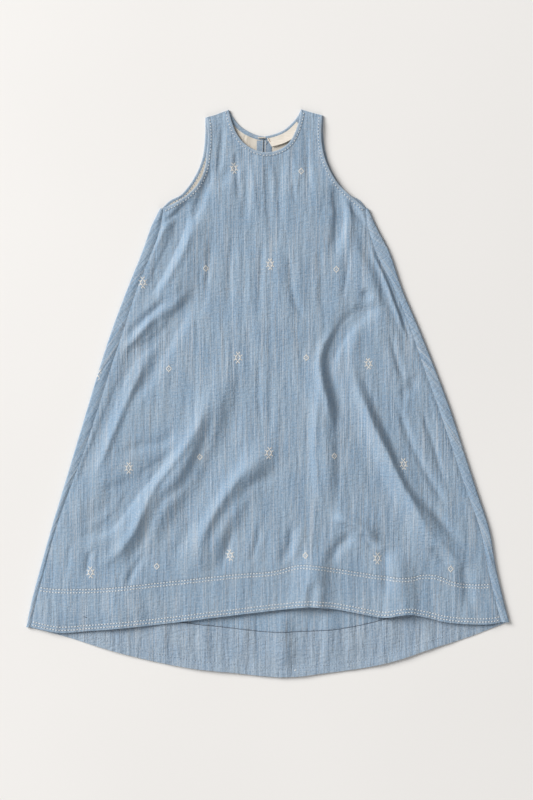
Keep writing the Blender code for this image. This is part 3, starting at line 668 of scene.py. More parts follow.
def finer_rows(grid, breaks, steps):
    """The grid with more rows on smooth curves, which may turn sharply only at the breaks."""
    blocks = []
    for first, last, count in zip(breaks, breaks[1:], steps):
        block = np.stack([smooth(grid[first:last + 1, j], count) for j in range(grid.shape[1])], axis=1)
        blocks.append(block if last == breaks[-1] else block[:-1])
    return np.concatenate(blocks)


def finer(grid, row_breaks, row_steps, column_breaks, column_steps):
    """The grid with more rows and columns."""
    rows = finer_rows(grid, row_breaks, row_steps)
    return finer_rows(rows.transpose(1, 0, 2), column_breaks, column_steps).transpose(1, 0, 2)


def lift_along(x, y, line, half, height, steep, fade=FOLD_FADE):
    """The height that a fold along this line adds at each place."""
    lift = np.zeros(x.shape)
    reach = 3 * half
    near = ((x > line[:, 0].min() - reach) & (x < line[:, 0].max() + reach)
            & (y > line[:, 1].min() - reach) & (y < line[:, 1].max() + reach))
    if not near.any():
        return lift
    px, py = x[near], y[near]
    best = np.full(px.shape, np.inf)
    found = np.zeros(px.shape)
    for k in range(len(line) - 1):
        way = line[k + 1] - line[k]
        share = np.clip(((px - line[k, 0]) * way[0] + (py - line[k, 1]) * way[1]) / (way @ way), 0, 1)
        off_x = px - line[k, 0] - way[0] * share
        off_y = py - line[k, 1] - way[1] * share
        away = np.hypot(off_x, off_y)
        along = (k + share) / (len(line) - 1)
        right_of_it = off_x * -way[1] + off_y * way[0] > 0
        wide = np.where(right_of_it, half / steep, half)
        ends = ease(along / fade) * ease((1 - along) / fade)
        found = np.where(away < best, height * ends * np.exp(-((away / wide) ** 2)), found)
        best = np.minimum(best, away)
    lift[near] = found
    return lift


def fold_lift(x, y, fold):
    _, start, middle, end, width, height, steep = fold
    a, b, c = (np.array(p, float) for p in (start, middle, end))
    t = np.linspace(0, 1, 25)[:, None]
    line = a * (1 - t) ** 2 + (2 * b - (a + c) / 2) * 2 * t * (1 - t) + c * t**2
    return lift_along(x, y, line, width, height, steep)


def crease_lift(x, y, creases, depth=1.0):
    """The height that the creases of a table add at each place."""
    return sum(lift_along(x, y, smooth(places, 5), half, height * depth, steep)
               for _, half, height, steep, places in creases)


def crinkle_waves(seed):
    """How wide each ripple is, how slowly it drifts along the cloth, and where it starts."""
    draw = np.random.default_rng(seed)
    across = draw.uniform(*CRINKLE_ACROSS, CRINKLE_WAVES)
    along = draw.uniform(*CRINKLE_ALONG, CRINKLE_WAVES) * draw.choice((-1, 1), CRINKLE_WAVES)
    return across, along, draw.uniform(0, 2 * math.pi, CRINKLE_WAVES)


FRONT_CRINKLE = crinkle_waves(5)
BACK_CRINKLE = crinkle_waves(11)


def crinkle(x, y, waves):
    """Soft upright ripples of the washed cloth, in patches."""
    bent = x
    for size, up, across in CRINKLE_BENDS:
        bent = bent + size * np.sin(y / up + x / across)
    total = np.zeros(x.shape)
    for across, along, start in zip(*waves):
        patch = 0.6 + 0.4 * np.sin(x / (3.1 * across) + y / (0.7 * along) + 2 * start)
        total += across * CRINKLE_SLOPE * patch * np.sin(2 * math.pi * (bent / across + y / along) + start)
    return total


def shoulder_drop(x, y):
    """How far the front comes down to the back as it nears the shoulder seams."""
    drop = np.zeros(x.shape)
    for ends, here in ((SHOULDER_LEFT, x < SLIT_AT), (SHOULDER_RIGHT, x >= SLIT_AT)):
        a, b = np.array(ends[0], float), np.array(ends[-1], float)
        way = (b - a) / np.linalg.norm(b - a)
        below = (x - a[0]) * way[1] - (y - a[1]) * way[0]
        drop = np.where(here, 1 - ease(below / SHOULDER_SLOPE), drop)
    return drop * (FRONT_LEVEL - SHOULDER_LEVEL)


def front_top(x, y):
    """Height of the front's upper face: the form of its solid with the creases on it."""
    _, _, left, right = side_places(y)
    from_seam = np.minimum(x - left, right - x)
    above = y > UNDERARM
    calm = np.where(above, 1.0, ease(from_seam / SEAM_CALM))
    crease_calm = np.where(above, 1.0, ease(from_seam / CREASE_CALM))
    puff = PUFF * ease((x - left) / PUFF_RIM) * ease((right - x) / PUFF_RIM) * ease((PUFF_TOP - y) / PUFF_RIM)
    lift = puff + sum(fold_lift(x, y, fold) for fold in FOLDS) * calm
    lift -= np.where(above, 0.0, SEAM_DIP * np.exp(-((from_seam / SEAM_DIP_WIDE) ** 2)))
    lift += (crease_lift(x, y, CREASES, CREASE_DEPTH) + crinkle(x, y, FRONT_CRINKLE)) * crease_calm
    over_slit = np.exp(-(((x - SLIT_AT) / OVER_SLIT[0]) ** 2)) * ease((y - UNDERARM) / OVER_SLIT[1])
    lowest = LOWEST_CREASE + (LOWEST_FRONT - LOWEST_CREASE) * over_slit
    free = FRONT_LEVEL + lift - lowest
    soft_floor = (free + np.sqrt(free**2 + SOFT_FLOOR**2)) / 2
    return lowest + soft_floor - shoulder_drop(x, y) + WALL


def band_top(x, y):
    return front_top(x, y) + BAND_STEP


def back_lift(x, y):
    """Soft creases that lift the back where it lies on the surface, and its hem, which curls up unevenly."""
    hem = smooth(BACK_HEM)
    from_hem = y - np.interp(x, hem[:, 0], hem[:, 1])
    short, long = HEM_CURL_WAVES
    uneven = 0.7 + 0.3 * np.sin(x / short + 1) * np.sin(x / long)
    curl = HEM_CURL * ease(1 - from_hem / HEM_CURL_REACH) * uneven
    curl = curl * ease((HEM_CURL_ENDS - np.abs(x)) / HEM_CURL_FADE)
    return np.clip(crease_lift(x, y, UNDER_CREASES), 0, HIGHEST_UNDER_CREASE) + curl


def on_underside(x, y):
    """Height of the back's lower face."""
    return UNDER_THREADS + back_lift(x, y)


def back_inside(x, y):
    """Height of the back's upper face where nothing lies on it."""
    rise = crease_lift(x, y, BACK_CREASES) + BACK_CRINKLE_SHARE * crinkle(x, y, BACK_CRINKLE)
    return UNDER_THREADS + CLOTH + back_lift(x, y) + np.maximum(rise, LOWEST_BACK_DIP)


def facing_top(x, y):
    return back_inside(x, y) + FACING_GAP + INNER_CLOTH


def lining_top(x, y):
    return facing_top(x, y) + crease_lift(x, y, LINING_CREASES)


def placket_top(x, y):
    """Height of the plackets, which turn up a little beside the slit."""
    from_slit = np.maximum(np.abs(x - SLIT_AT) - SLIT_WIDTH / 2, 0)
    turn = PLACKET_TURN * np.exp(-((from_slit / PLACKET_TURN_WIDE) ** 2))
    return facing_top(x, y) + PLACKET_GAP + INNER_CLOTH + turn


def on_binding(x, y):
    return front_top(x, y) + BINDING_TOP


def on_back_binding(x, y):
    return back_inside(x, y) + BACK_BINDING_TOP


def on_label(x, _):
    return np.full(x.shape, ON_LABEL)


def flap_top(x, y):
    """Height of the rolled sides' upper face, which falls away round the roll."""
    left_edge, right_edge, left_seam, right_seam = side_places(y)
    on_left = x < (left_edge + right_edge) / 2
    level = np.where(on_left, front_top(left_seam + GAP, y), front_top(right_seam - GAP, y))
    from_edge = np.clip(np.where(on_left, x - left_edge, right_edge - x), 0, SIDE_ROLL)
    from_seam = np.maximum(np.where(on_left, left_seam - x, x - right_seam), 0)
    bend = 1 - np.sqrt(np.clip(1 - (1 - from_edge / SIDE_ROLL) ** 2, 0, 1))
    return level - bend * level / 2 + SEAM_DIP * (1 - np.exp(-((from_seam / SEAM_DIP_WIDE) ** 2)))


def raised(points, height):
    """Points of a flat grid set at a height, or at a height for each."""
    return np.concatenate([points, np.broadcast_to(height, points.shape[:2])[..., None]], axis=2)


def new_piece(name, places, faces, material, grain=None, strip=None, smooth_angle=50):
    """A mesh in metres from places in millimetres, riding on the dress, with its maps of the cloth."""
    mesh = bpy.data.meshes.new(name)
    mesh.from_pydata((places * MM).tolist(), [], faces)
    mesh.materials.append(material)
    corners = np.zeros(len(mesh.loops), int)
    mesh.loops.foreach_get("vertex_index", corners)
    for layer, values in ((GRAIN_MAP, grain), (STRIP_MAP, strip)):
        if values is not None:
            mesh.uv_layers.new(name=layer).data.foreach_set("uv", values[corners].astype(np.float32).ravel())
    mesh.shade_smooth()
    mesh.set_sharp_from_angle(angle=math.radians(smooth_angle))
    piece = bpy.data.objects.new(name, mesh)
    bpy.context.scene.collection.objects.link(piece)
    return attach(piece, "root")


def outward(piece):
    """Turns the faces of a closed piece outward."""
    mesh = bmesh.new()
    mesh.from_mesh(piece.data)
    bmesh.ops.recalc_face_normals(mesh, faces=mesh.faces)
    mesh.to_mesh(piece.data)
    mesh.free()
    return piece


def every_cell(grid):
    """A mark for each cell of a grid of points."""
    return np.ones((grid.shape[0] - 1, grid.shape[1] - 1), bool)


def cloth_shell(name, over, under, material, grain, kept=None):
    """A closed shell of cloth between two grids of points. Cells that aren't kept are open."""
    kept = every_cell(over) if kept is None else kept
    number = np.arange(over[..., 0].size).reshape(over.shape[:2])
    a, b, c, d = number[:-1, :-1], number[:-1, 1:], number[1:, 1:], number[1:, :-1]
    beyond = number.size
    padded = np.pad(kept, 1)
    sides = ((a, b, padded[:-2, 1:-1]), (b, c, padded[1:-1, 2:]), (c, d, padded[2:, 1:-1]),
             (d, a, padded[1:-1, :-2]))
    quads = [np.stack([a, b, c, d], axis=-1)[kept], np.stack([a, d, c, b], axis=-1)[kept] + beyond]
    for p, q, neighbour in sides:
        rim = kept & ~neighbour
        quads.append(np.stack([q, p, p + beyond, q + beyond], axis=-1)[rim])
    faces = np.concatenate(quads)
    used, faces = np.unique(faces, return_inverse=True)
    places = np.concatenate([over.reshape(-1, 3), under.reshape(-1, 3)])[used]
    maps = np.concatenate([grain.reshape(-1, 2)] * 2)[used] * MM
    return new_piece(name, places, faces.reshape(-1, 4).tolist(), material, grain=maps)


def strip_piece(name, edge, inner, top, section, material):
    """A strip with a rounded section that runs round an edge: each place of the section is a share of
    the way from the edge inwards and a height over the cloth."""
    rings = []
    for share, height in section:
        flat = edge + (inner - edge) * share
        rings.append(np.concatenate([flat, (top(flat[:, 0], flat[:, 1]) + height)[:, None]], axis=1))
    rings = np.array(rings)
    turns, count = rings.shape[:2]
    number = np.arange(turns * count).reshape(turns, count)
    here, after = number, np.roll(number, -1, axis=0)
    faces = np.stack([here[:, :-1], here[:, 1:], after[:, 1:], after[:, :-1]], axis=-1).reshape(-1, 4).tolist()
    faces += [number[:, 0].tolist(), number[::-1, -1].tolist()]
    along = np.broadcast_to(distances(edge), (turns, count))
    width = np.linalg.norm(inner - edge, axis=1)
    across = np.array([share for share, _ in section])[:, None]
    inwards = across * width
    grain = np.stack([along + inwards, along - inwards], axis=-1).reshape(-1, 2) * MM / math.sqrt(2)
    strip = np.stack([along * MM, np.broadcast_to(across, along.shape)], axis=-1).reshape(-1, 2)
    return outward(new_piece(name, rings.reshape(-1, 3), faces, material, grain=grain, strip=strip))


def fine_index(coarse, breaks, steps):
    """The number of a coarse grid line in the finer grid."""
    total = 0
    for first, last, count in zip(breaks, breaks[1:], steps):
        total += max(0, min(coarse, last) - first) * count
    return total


FRONT_BREAKS = (0, 1 + FRONT_STRAP, 1 + FRONT_STRAP + FRONT_NECK, 2 * (1 + FRONT_STRAP) + FRONT_NECK)
FRONT_ROW_BREAKS = (0, BODY_ROWS + 1, BODY_ROWS + 1 + ARMHOLE_ROWS + 1)
SLIT_LEFT = 1 + BACK_STRAP + BACK_NECK_HALF
BACK_BREAKS = (0, 1 + BACK_STRAP, SLIT_LEFT, SLIT_LEFT + 1, SLIT_LEFT + 1 + BACK_NECK_HALF,
               2 * SLIT_LEFT + 1)
CORNER_ROW = BAND_ROWS + BODY_ROWS + 1
BACK_ROW_BREAKS = (0, BAND_ROWS, CORNER_ROW, CORNER_ROW + ARMHOLE_ROWS + 1)
FRONT_CHEST_ROW = BODY_STEPS[0] * (BODY_ROWS + 1)


def back_row(coarse):
    return fine_index(coarse, BACK_ROW_BREAKS, BACK_ROW_STEPS)


def back_column(coarse):
    return fine_index(coarse, BACK_BREAKS, BACK_STEPS)


BACK_COARSE = back_points()
BACK = finer(BACK_COARSE, BACK_ROW_BREAKS, BACK_ROW_STEPS, BACK_BREAKS, BACK_STEPS)
SLIT_TOP = BACK_COARSE[-1, SLIT_LEFT]
SLIT_ROW = back_row(int(np.argmax(BACK_COARSE[:, SLIT_LEFT, 1] > SLIT_TOP[1] - SLIT_LENGTH)))
SLIT_COLUMNS = slice(back_column(SLIT_LEFT), back_column(SLIT_LEFT + 1))
BACK_NECKS = {"left": slice(back_column(BACK_BREAKS[1]), SLIT_COLUMNS.start + 1),
              "right": slice(SLIT_COLUMNS.stop, back_column(BACK_BREAKS[4]) + 1)}
BACK_CORNER = back_row(CORNER_ROW)


def front_neck(row):
    """The stretch of a row of the front between its straps."""
    strap = FRONT_STEPS[0] * FRONT_BREAKS[1]
    return row[strap:strap + FRONT_STEPS[1] * FRONT_NECK + 1]


def make_back(material):
    """The back with its rolled sides: from the left seam on top, round the roll, across the surface,
    round the right roll and up to the right seam."""
    x, y = BACK[..., 0], BACK[..., 1]
    side = FLAP_STEPS + ROLL_STEPS
    grids = raised(BACK, back_inside(x, y)), raised(BACK, on_underside(x, y)), BACK
    over, under, grain = (np.pad(grid, ((0, 0), (side, side), (0, 0)), mode="edge") for grid in grids)
    short, long = FLAP_WAVES
    for toward, end in ((1, 0), (-1, -1)):
        y = BACK[:BACK_CORNER + 1, end, 1]
        places = side_places(y)
        edge, seam = (places[0], places[2]) if toward == 1 else (places[1], places[3])
        seam = seam - toward * GAP / 2
        centre = edge + toward * SIDE_ROLL
        level = front_top(seam + toward * GAP, y)
        slope = np.gradient(edge, y)
        tilt = 1 / np.hypot(1, slope)
        for k in range(side):
            turn = math.pi * max(0, k - FLAP_STEPS) / ROLL_STEPS
            share = min(1.0, k / FLAP_STEPS)
            out_x, out_z = -toward * math.sin(turn), math.cos(turn)
            uneven = 1 + 0.6 * np.sin(y / short) * np.sin(y / long + end)
            puff = FLAP_PUFF * math.sin(math.pi * share) * uneven
            face_x = seam + (centre - seam) * share + SIDE_ROLL * out_x
            top = level + SEAM_DIP * (1 - np.exp(-(((face_x - seam) / SEAM_DIP_WIDE) ** 2)))
            face_z = (top + UNDER_THREADS) / 2 + (top - UNDER_THREADS) / 2 * out_z + puff
            column = k if toward == 1 else -1 - k
            under[:BACK_CORNER + 1, column] = np.stack([face_x, y, face_z], axis=1)
            over[:BACK_CORNER + 1, column] = np.stack([face_x - out_x * CLOTH, y, face_z - out_z * CLOTH],
                                                      axis=1)
            depth = np.abs(face_x - edge) * tilt * (1 + math.cos(turn))
            grain[:BACK_CORNER + 1, column] = np.stack([face_x - toward * depth * tilt,
                                                        y + toward * depth * slope * tilt], axis=1)
    kept = every_cell(over)
    kept[BACK_CORNER:, :side] = False
    kept[BACK_CORNER:, -side:] = False
    open_from, open_to = SLIT_COLUMNS.start + SLIT_OPENS[0], SLIT_COLUMNS.stop - SLIT_OPENS[1]
    kept[SLIT_ROW:, side + open_from:side + open_to] = False
    return cloth_shell("back_panel_cloth", over, under, material, grain, kept)


def thinned_rim(over, under, rim):
    """Brings the two faces of a cloth closer at its outer edges."""
    for face, sign in ((over, -1), (under, 1)):
        face[0, :, 2] += sign * rim
        face[-1, :, 2] += sign * rim
        face[1:-1, 0, 2] += sign * rim
        face[1:-1, -1, 2] += sign * rim


def laid_cloth(name, points, top, thick, rim, material, kept=None):
    """A cloth that lies at the height of a surface."""
    height = top(points[..., 0], points[..., 1])
    over, under = raised(points, height), raised(points, height - thick)
    thinned_rim(over, under, rim)
    return cloth_shell(name, over, under, material, points, kept)


def make_front(chambray, trim):
    """The front, its hem band and the bindings round its edges."""
    coarse = front_points()
    body = coarse[BAND_ROWS:].copy()
    body[0] = part_way(body[0], body[1], GAP)
    fine = finer(body, FRONT_ROW_BREAKS, BODY_STEPS, FRONT_BREAKS, FRONT_STEPS)
    gape = fine[FRONT_CHEST_ROW:]
    low, high = ARMHOLE_GAPES
    gape[..., 0] += (ARMHOLE_GAPE * np.sin(math.pi * np.clip((gape[..., 1] - low) / (high - low), 0, 1))
                     * np.exp(-(((gape[..., 0] - gape[:, :1, 0]) / ARMHOLE_GAPE_WIDE) ** 2)))
    band = finer(coarse[:BAND_ROWS + 1], (0, BAND_ROWS), BAND_STEPS, FRONT_BREAKS, BAND_ACROSS)
    pieces = {"front_panel": laid_cloth("front_panel_cloth", fine, front_top, CLOTH, THIN_RIM, chambray),
              "front_hem_band": laid_cloth("front_hem_band_cloth", band, band_top, CLOTH, SEWN_RIM, chambray),
              "neck_binding_front": bound_edge("neck_binding_front", front_neck(fine[-1]),
                                               front_neck(fine[-1 - BODY_STEPS[1]]), front_top, trim)}
    for side, edge, inner in (("left", 0, FRONT_STEPS[0]), ("right", -1, -1 - FRONT_STEPS[2])):
        name = f"armhole_binding_{side}_front"
        pieces[name] = bound_edge(name, gape[:, edge], gape[:, inner], front_top, trim)
    return pieces, fine, band


def bound_edge(name, edge, inner, top, material, section=None):
    return strip_piece(f"{name}_cloth", edge, inner, top, section or FRONT_BINDING, material)


def make_back_trim(looks):
    """Facing, lining, bindings, plackets and label on the inside of the back."""
    facing = BACK[:back_row(BAND_ROWS) + 1].copy()
    facing[:, 0, 0] += GAP
    facing[:, -1, 0] -= GAP
    pieces = {"back_hem_facing": laid_cloth("back_hem_facing_cloth", facing, facing_top, INNER_CLOTH, SEWN_RIM,
                                            looks["inside"])}
    first_row, last_row = back_row(CORNER_ROW - 2), back_row(CORNER_ROW + ARMHOLE_ROWS)
    first_column, last_column = back_column(1) - LINING_SHOWS, back_column(BACK_BREAKS[-1] - 1)
    lining = BACK[first_row:last_row + 1, first_column:last_column + 1]
    kept = every_cell(lining)
    kept[SLIT_ROW - first_row:, SLIT_COLUMNS.start - first_column:SLIT_COLUMNS.stop - first_column] = False
    pieces["back_neck_lining"] = laid_cloth("back_neck_lining_cloth", lining, lining_top, INNER_CLOTH, THIN_RIM,
                                            looks["lining"], kept)
    for side, columns in BACK_NECKS.items():
        name = f"neck_binding_back_{side}"
        pieces[name] = bound_edge(name, BACK[-1, columns], BACK[last_row, columns], back_inside, looks["trim"],
                                  BACK_BINDING)
    armhole = BACK[BACK_CORNER:]
    narrow, wide = armhole[:, first_column], armhole[:, back_column(1)]
    below_top, blend = LINING_WIDENS
    left_inner = narrow + (wide - narrow) * ease((wide[:, 1:] - ARMHOLE_GAPES[1] + below_top) / blend)
    for side, edge, inner in (("left", 0, left_inner), ("right", -1, armhole[:, last_column])):
        name = f"armhole_binding_{side}_back"
        pieces[name] = bound_edge(name, armhole[:, edge], inner, back_inside, looks["trim"], BACK_BINDING)
    for side, column, way in (("left", SLIT_COLUMNS.start, -1), ("right", SLIT_COLUMNS.stop, 1)):
        edge = BACK[SLIT_ROW:last_row + 1, column]
        shares = np.linspace(0, 1, PLACKET_STEPS + 1)[::way]
        strip = np.stack([edge + (way * (PLACKET_SET_BACK + PLACKET_WIDTH * share), 0) for share in shares],
                         axis=1)
        pieces[f"slit_placket_{side}"] = laid_cloth(f"slit_placket_{side}_cloth", strip, placket_top,
                                                    INNER_CLOTH, SEWN_RIM, looks["placket"])
    edge = smooth(NECK_BACK_RIGHT)
    upper = places_on(moved_sideways(edge, LABEL_FROM_EDGE), np.linspace(*LABEL_ALONG_NECK, LABEL_STEPS[1] + 1))
    direction = upper[-1] - upper[0]
    down = np.array([direction[1], -direction[0]]) / np.linalg.norm(direction) * LABEL_HEIGHT
    shares = np.linspace(1, 0, LABEL_STEPS[0] + 1)
    label = np.stack([upper + down * share for share in shares])
    height = ON_PLACKET + TRIM + LABEL_CURL * (shares[:, None] ** 2) * np.ones(label.shape[1])
    over, under = raised(label, height), raised(label, height - LABEL_THICK)
    pieces["label"] = cloth_shell("label_cloth", over, under, looks["label"], label - label[-1, 0])
    return pieces


def make_thread_bar(material):
    """A worked thread bar that bridges the top of the slit, with its thread wound round it."""
    centre = np.array([SLIT_TOP[0] + SLIT_WIDTH + BAR_PAST_SLIT - BAR_LENGTH / 2, SLIT_TOP[1] - BAR_BELOW_EDGE,
                       ON_TRIM + BAR_RADIUS + GAP])
    shares = np.linspace(0, 1, BAR_RINGS)
    winding = 0.84 + 0.16 * np.abs(np.sin(math.pi * BAR_TURNS * shares))
    radius = BAR_RADIUS * (0.3 + 0.7 * np.sin(math.pi * shares) ** 0.4) * winding
    turn = np.arange(BAR_SIDES) * 2 * math.pi / BAR_SIDES
    x = np.broadcast_to(((shares - 0.5) * BAR_LENGTH)[:, None], (BAR_RINGS, BAR_SIDES))
    places = np.stack([x, radius[:, None] * np.cos(turn), radius[:, None] * np.sin(turn)], axis=-1) + centre
    number = np.arange(BAR_RINGS * BAR_SIDES).reshape(BAR_RINGS, BAR_SIDES)
    after = np.roll(number, -1, axis=1)
    faces = np.stack([number[:-1], after[:-1], after[1:], number[1:]], axis=-1).reshape(-1, 4)[:, ::-1].tolist()
    faces += [number[0].tolist(), number[-1, ::-1].tolist()]
    return outward(new_piece("slit_thread_bar_wound", places.reshape(-1, 3), faces, material))


def threads_along(curve, pitch, length, start):
    """Stitches in a row along a line: place x, y, direction and length of each."""
    at = np.arange(start + length / 2, distances(curve)[-1] - start, pitch)
    ahead, behind = places_on(curve, at + 0.5), places_on(curve, at - 0.5)
    middle = (ahead + behind) / 2
    way = ahead - behind
    wander = 0.25 * np.sin(at * 1.7) * np.sin(at * 0.23 + 1)
    turn = np.arctan2(way[:, 1], way[:, 0])
    middle = middle + np.stack([-np.sin(turn), np.cos(turn)], axis=1) * wander[:, None]
    return np.column_stack([middle, turn + 0.05 * np.sin(at * 2.9), length * (1 + 0.12 * np.sin(at * 1.3))])


def motif_threads(chart, centres, seed):
    """The floats of a woven motif at each centre, a float for each run of letters in its chart."""
    runs = []
    for row, line in enumerate(chart):
        start = None
        for column, letter in enumerate(line + "."):
            if letter == "#" and start is None:
                start = column
            elif letter != "#" and start is not None:
                middle = (start + column - 1) / 2 - (len(line) - 1) / 2
                runs.append((middle * CELL, ((len(chart) - 1) / 2 - row) * CELL, (column - start) * CELL))
                start = None
    draw = np.random.default_rng(seed)
    threads = []
    for x, y in centres:
        turn = draw.normal(0, MOTIF_TURN)
        spread = draw.uniform(*MOTIF_SPREAD)
        for across, up, length in runs:
            threads.append((x + spread * (across * math.cos(turn) - up * math.sin(turn)),
                            y + spread * (across * math.sin(turn) + up * math.cos(turn)),
                            turn + draw.normal(0, FLOSS_TURN), length + FLOSS_LONGER))
    return np.array(threads)


def back_centres(start):
    """Centres of the back's motifs, in rows with a half drop, where they lie well inside its edges."""
    hem = smooth(BACK_HEM)
    wide, tall = BACK_REPEAT
    centres = [(start + wide * k + wide // 2 * (row % 2), BACK_TOP_MOTIFS - tall * row)
               for row in range(5) for k in range(-3, 3)]
    inside = []
    for x, y in centres:
        left, right, _, _ = side_places(y)
        lowest = np.interp(x, hem[:, 0], hem[:, 1]) + MOTIF_MARGIN
        across = abs(x) < ARMHOLE_REACH if y > UNDERARM else left + MOTIF_MARGIN < x < right - MOTIF_MARGIN
        if across and y > lowest:
            inside.append((x, y))
    return inside


def thread_piece(name, threads, wide, high, surface, material):
    """Short raised threads that lie on a surface, or under the dress, with their ends drawn into the cloth."""
    below = surface is on_underside
    x, y, turn, length = threads.T
    along = np.repeat([-0.5, -0.4, 0.0, 0.4, 0.5], [1, 6, 6, 6, 1])
    thick = np.repeat([0.0, 0.8, 1.0, 0.8, 0.0], [1, 6, 6, 6, 1])
    around = np.concatenate([[0], np.tile(np.arange(6) * math.pi / 3, 3), [0]])
    forward = along * length[:, None]
    sideways = 0.5 * wide * thick * np.cos(around)
    px = x[:, None] + forward * np.cos(turn)[:, None] - sideways * np.sin(turn)[:, None]
    py = y[:, None] + forward * np.sin(turn)[:, None] + sideways * np.cos(turn)[:, None]
    side = -1 if below else 1
    rise = side * high * (thick * np.sin(around) - 0.25 * (thick == 0))
    places = np.stack([px, py, surface(px, py) + rise], axis=-1).reshape(-1, 3)
    ring = np.arange(6)
    after = (ring + 1) % 6
    faces = [(0, 1 + b, 1 + a) for a, b in zip(ring, after)]
    faces += [(1 + k + a, 1 + k + b, 7 + k + b, 7 + k + a) for k in (0, 6) for a, b in zip(ring, after)]
    faces += [(19, 13 + a, 13 + b) for a, b in zip(ring, after)]
    if below:
        faces = [face[::-1] for face in faces]
    faces = [tuple(int(v) + 20 * n for v in face) for n in range(len(threads)) for face in faces]
    new_piece(name, places, faces, material, smooth_angle=80)


def add(tree, kind, inputs=None, **settings):
    """A new node with its settings and inputs. An input is a number, a colour or another node's output."""
    node = tree.nodes.new(kind)
    for key, value in settings.items():
        setattr(node, key, value)
    for key, value in (inputs or {}).items():
        if isinstance(value, bpy.types.NodeSocket):
            tree.links.new(value, node.inputs[key])
        else:
            node.inputs[key].default_value = value
    return node


def new_group(name, inputs, outputs):
    """An empty shader node group with named sockets, and its ends."""
    group = bpy.data.node_groups.new(name, "ShaderNodeTree")
    for label, kind, start in inputs:
        socket = group.interface.new_socket(label, in_out="INPUT", socket_type=kind)
        if start is not None:
            socket.default_value = start
    for label, kind in outputs:
        group.interface.new_socket(label, in_out="OUTPUT", socket_type=kind)
    return group, group.nodes.new("NodeGroupInput"), group.nodes.new("NodeGroupOutput")


def maths(tree, operation, a, b=0.0, c=0.0):
    return add(tree, "ShaderNodeMath", {0: a, 1: b, 2: c}, operation=operation).outputs[0]


def stretched(tree, vector, x, y):
    return add(tree, "ShaderNodeVectorMath", {0: vector, 1: (x, y, 1.0)}, operation="MULTIPLY").outputs[0]


def noise(tree, vector, x, y, detail=2.0, rough=0.55):
    """Noise with x and y features to the metre."""
    return add(tree, "ShaderNodeTexNoise", {"Vector": stretched(tree, vector, x, y), "Scale": 1.0,
                                            "Detail": detail, "Roughness": rough},
               noise_dimensions="2D").outputs[0]


def between(tree, value, low, high, start=0.0, end=1.0):
    return add(tree, "ShaderNodeMapRange", {0: value, 1: low, 2: high, 3: start, 4: end},
               interpolation_type="SMOOTHSTEP").outputs[0]


def mixed(tree, share, first, second, blend="MIX"):
    node = add(tree, "ShaderNodeMix", {"Factor": share, 6: first, 7: second}, data_type="RGBA",
               blend_type=blend)
    return node.outputs[2]


def tinted(tree, base, mask, share, colour):
    """The base with a share of another colour where the mask is."""
    return mixed(tree, maths(tree, "MULTIPLY", mask, share), base, colour)


def shifted_noise(tree, grain, rates, shares, shift, detail):
    """Noise in a group, with x and y features to the metre of each rate times its share."""
    split = add(tree, "ShaderNodeSeparateXYZ", {0: grain})
    x, y = (maths(tree, "MULTIPLY", split.outputs[k], maths(tree, "MULTIPLY", rates[k], shares[k]))
            for k in (0, 1))
    place = add(tree, "ShaderNodeCombineXYZ", {0: maths(tree, "ADD", x, shift), 1: y, 2: 0.0}).outputs[0]
    return add(tree, "ShaderNodeTexNoise", {"Vector": place, "Scale": 1.0, "Detail": detail, "Roughness": 0.5},
               noise_dimensions="2D").outputs[0]


def cloth_grain(tree):
    return add(tree, "ShaderNodeUVMap", uv_map=GRAIN_MAP).outputs[0]


def used_group(tree, group, grain, *values):
    """A group node on the cloth's grain, with its other inputs in order."""
    return add(tree, "ShaderNodeGroup", {"Grain": grain, **dict(enumerate(values, 1))}, node_tree=group)


def make_slub_group():
    """Uneven yarns: pale and dark ones of different lengths that run up and down the cloth."""
    group, start, end = new_group(
        "slub_yarns", (("Grain", "NodeSocketVector", None), ("Yarns per metre", "NodeSocketFloat", 480.0),
                       ("Slubs per metre", "NodeSocketFloat", 5.5)),
        (("Pale", "NodeSocketFloat"), ("Dark", "NodeSocketFloat"), ("Height", "NodeSocketFloat")))
    grain, *rates = start.outputs[:3]
    masks = [shifted_noise(group, grain, rates, shares, shift, 1.5)
             for *shares, shift in ((1.0, 1.0, 0.0), (2.3, 3.2, 7.3), (0.9, 1.3, 13.1), (2.6, 2.6, 21.7))]
    pale = maths(group, "MAXIMUM", between(group, masks[0], 0.53, 0.72),
                 between(group, masks[1], 0.60, 0.76, 0.0, 0.9))
    dark = maths(group, "MAXIMUM", between(group, masks[2], 0.54, 0.74),
                 between(group, masks[3], 0.60, 0.76, 0.0, 0.9))
    group.links.new(pale, end.inputs["Pale"])
    group.links.new(dark, end.inputs["Dark"])
    group.links.new(maths(group, "SUBTRACT", pale, maths(group, "MULTIPLY", dark, 0.6)), end.inputs["Height"])
    return group


def make_weave_group():
    """A plain weave: threads that pass over and under each other, with painted shade for the gaps between them.
    """
    group, start, end = new_group(
        "plain_weave", (("Grain", "NodeSocketVector", None), ("Threads per metre", "NodeSocketFloat", 1400.0)),
        (("Height", "NodeSocketFloat"), ("Gap", "NodeSocketFloat")))
    turn = maths(group, "MULTIPLY", start.outputs[1], math.pi)
    split = add(group, "ShaderNodeSeparateXYZ", {0: start.outputs["Grain"]})
    wave = [maths(group, "SINE", maths(group, "MULTIPLY", split.outputs[k], turn)) for k in (0, 1)]
    over = maths(group, "MULTIPLY", wave[0], wave[1])
    height = maths(group, "MULTIPLY_ADD", over, 0.5, 0.5)
    gap = maths(group, "SUBTRACT", 1.0, maths(group, "MAXIMUM", maths(group, "ABSOLUTE", wave[0]),
                                              maths(group, "ABSOLUTE", wave[1])))
    group.links.new(height, end.inputs["Height"])
    group.links.new(gap, end.inputs["Gap"])
    return group


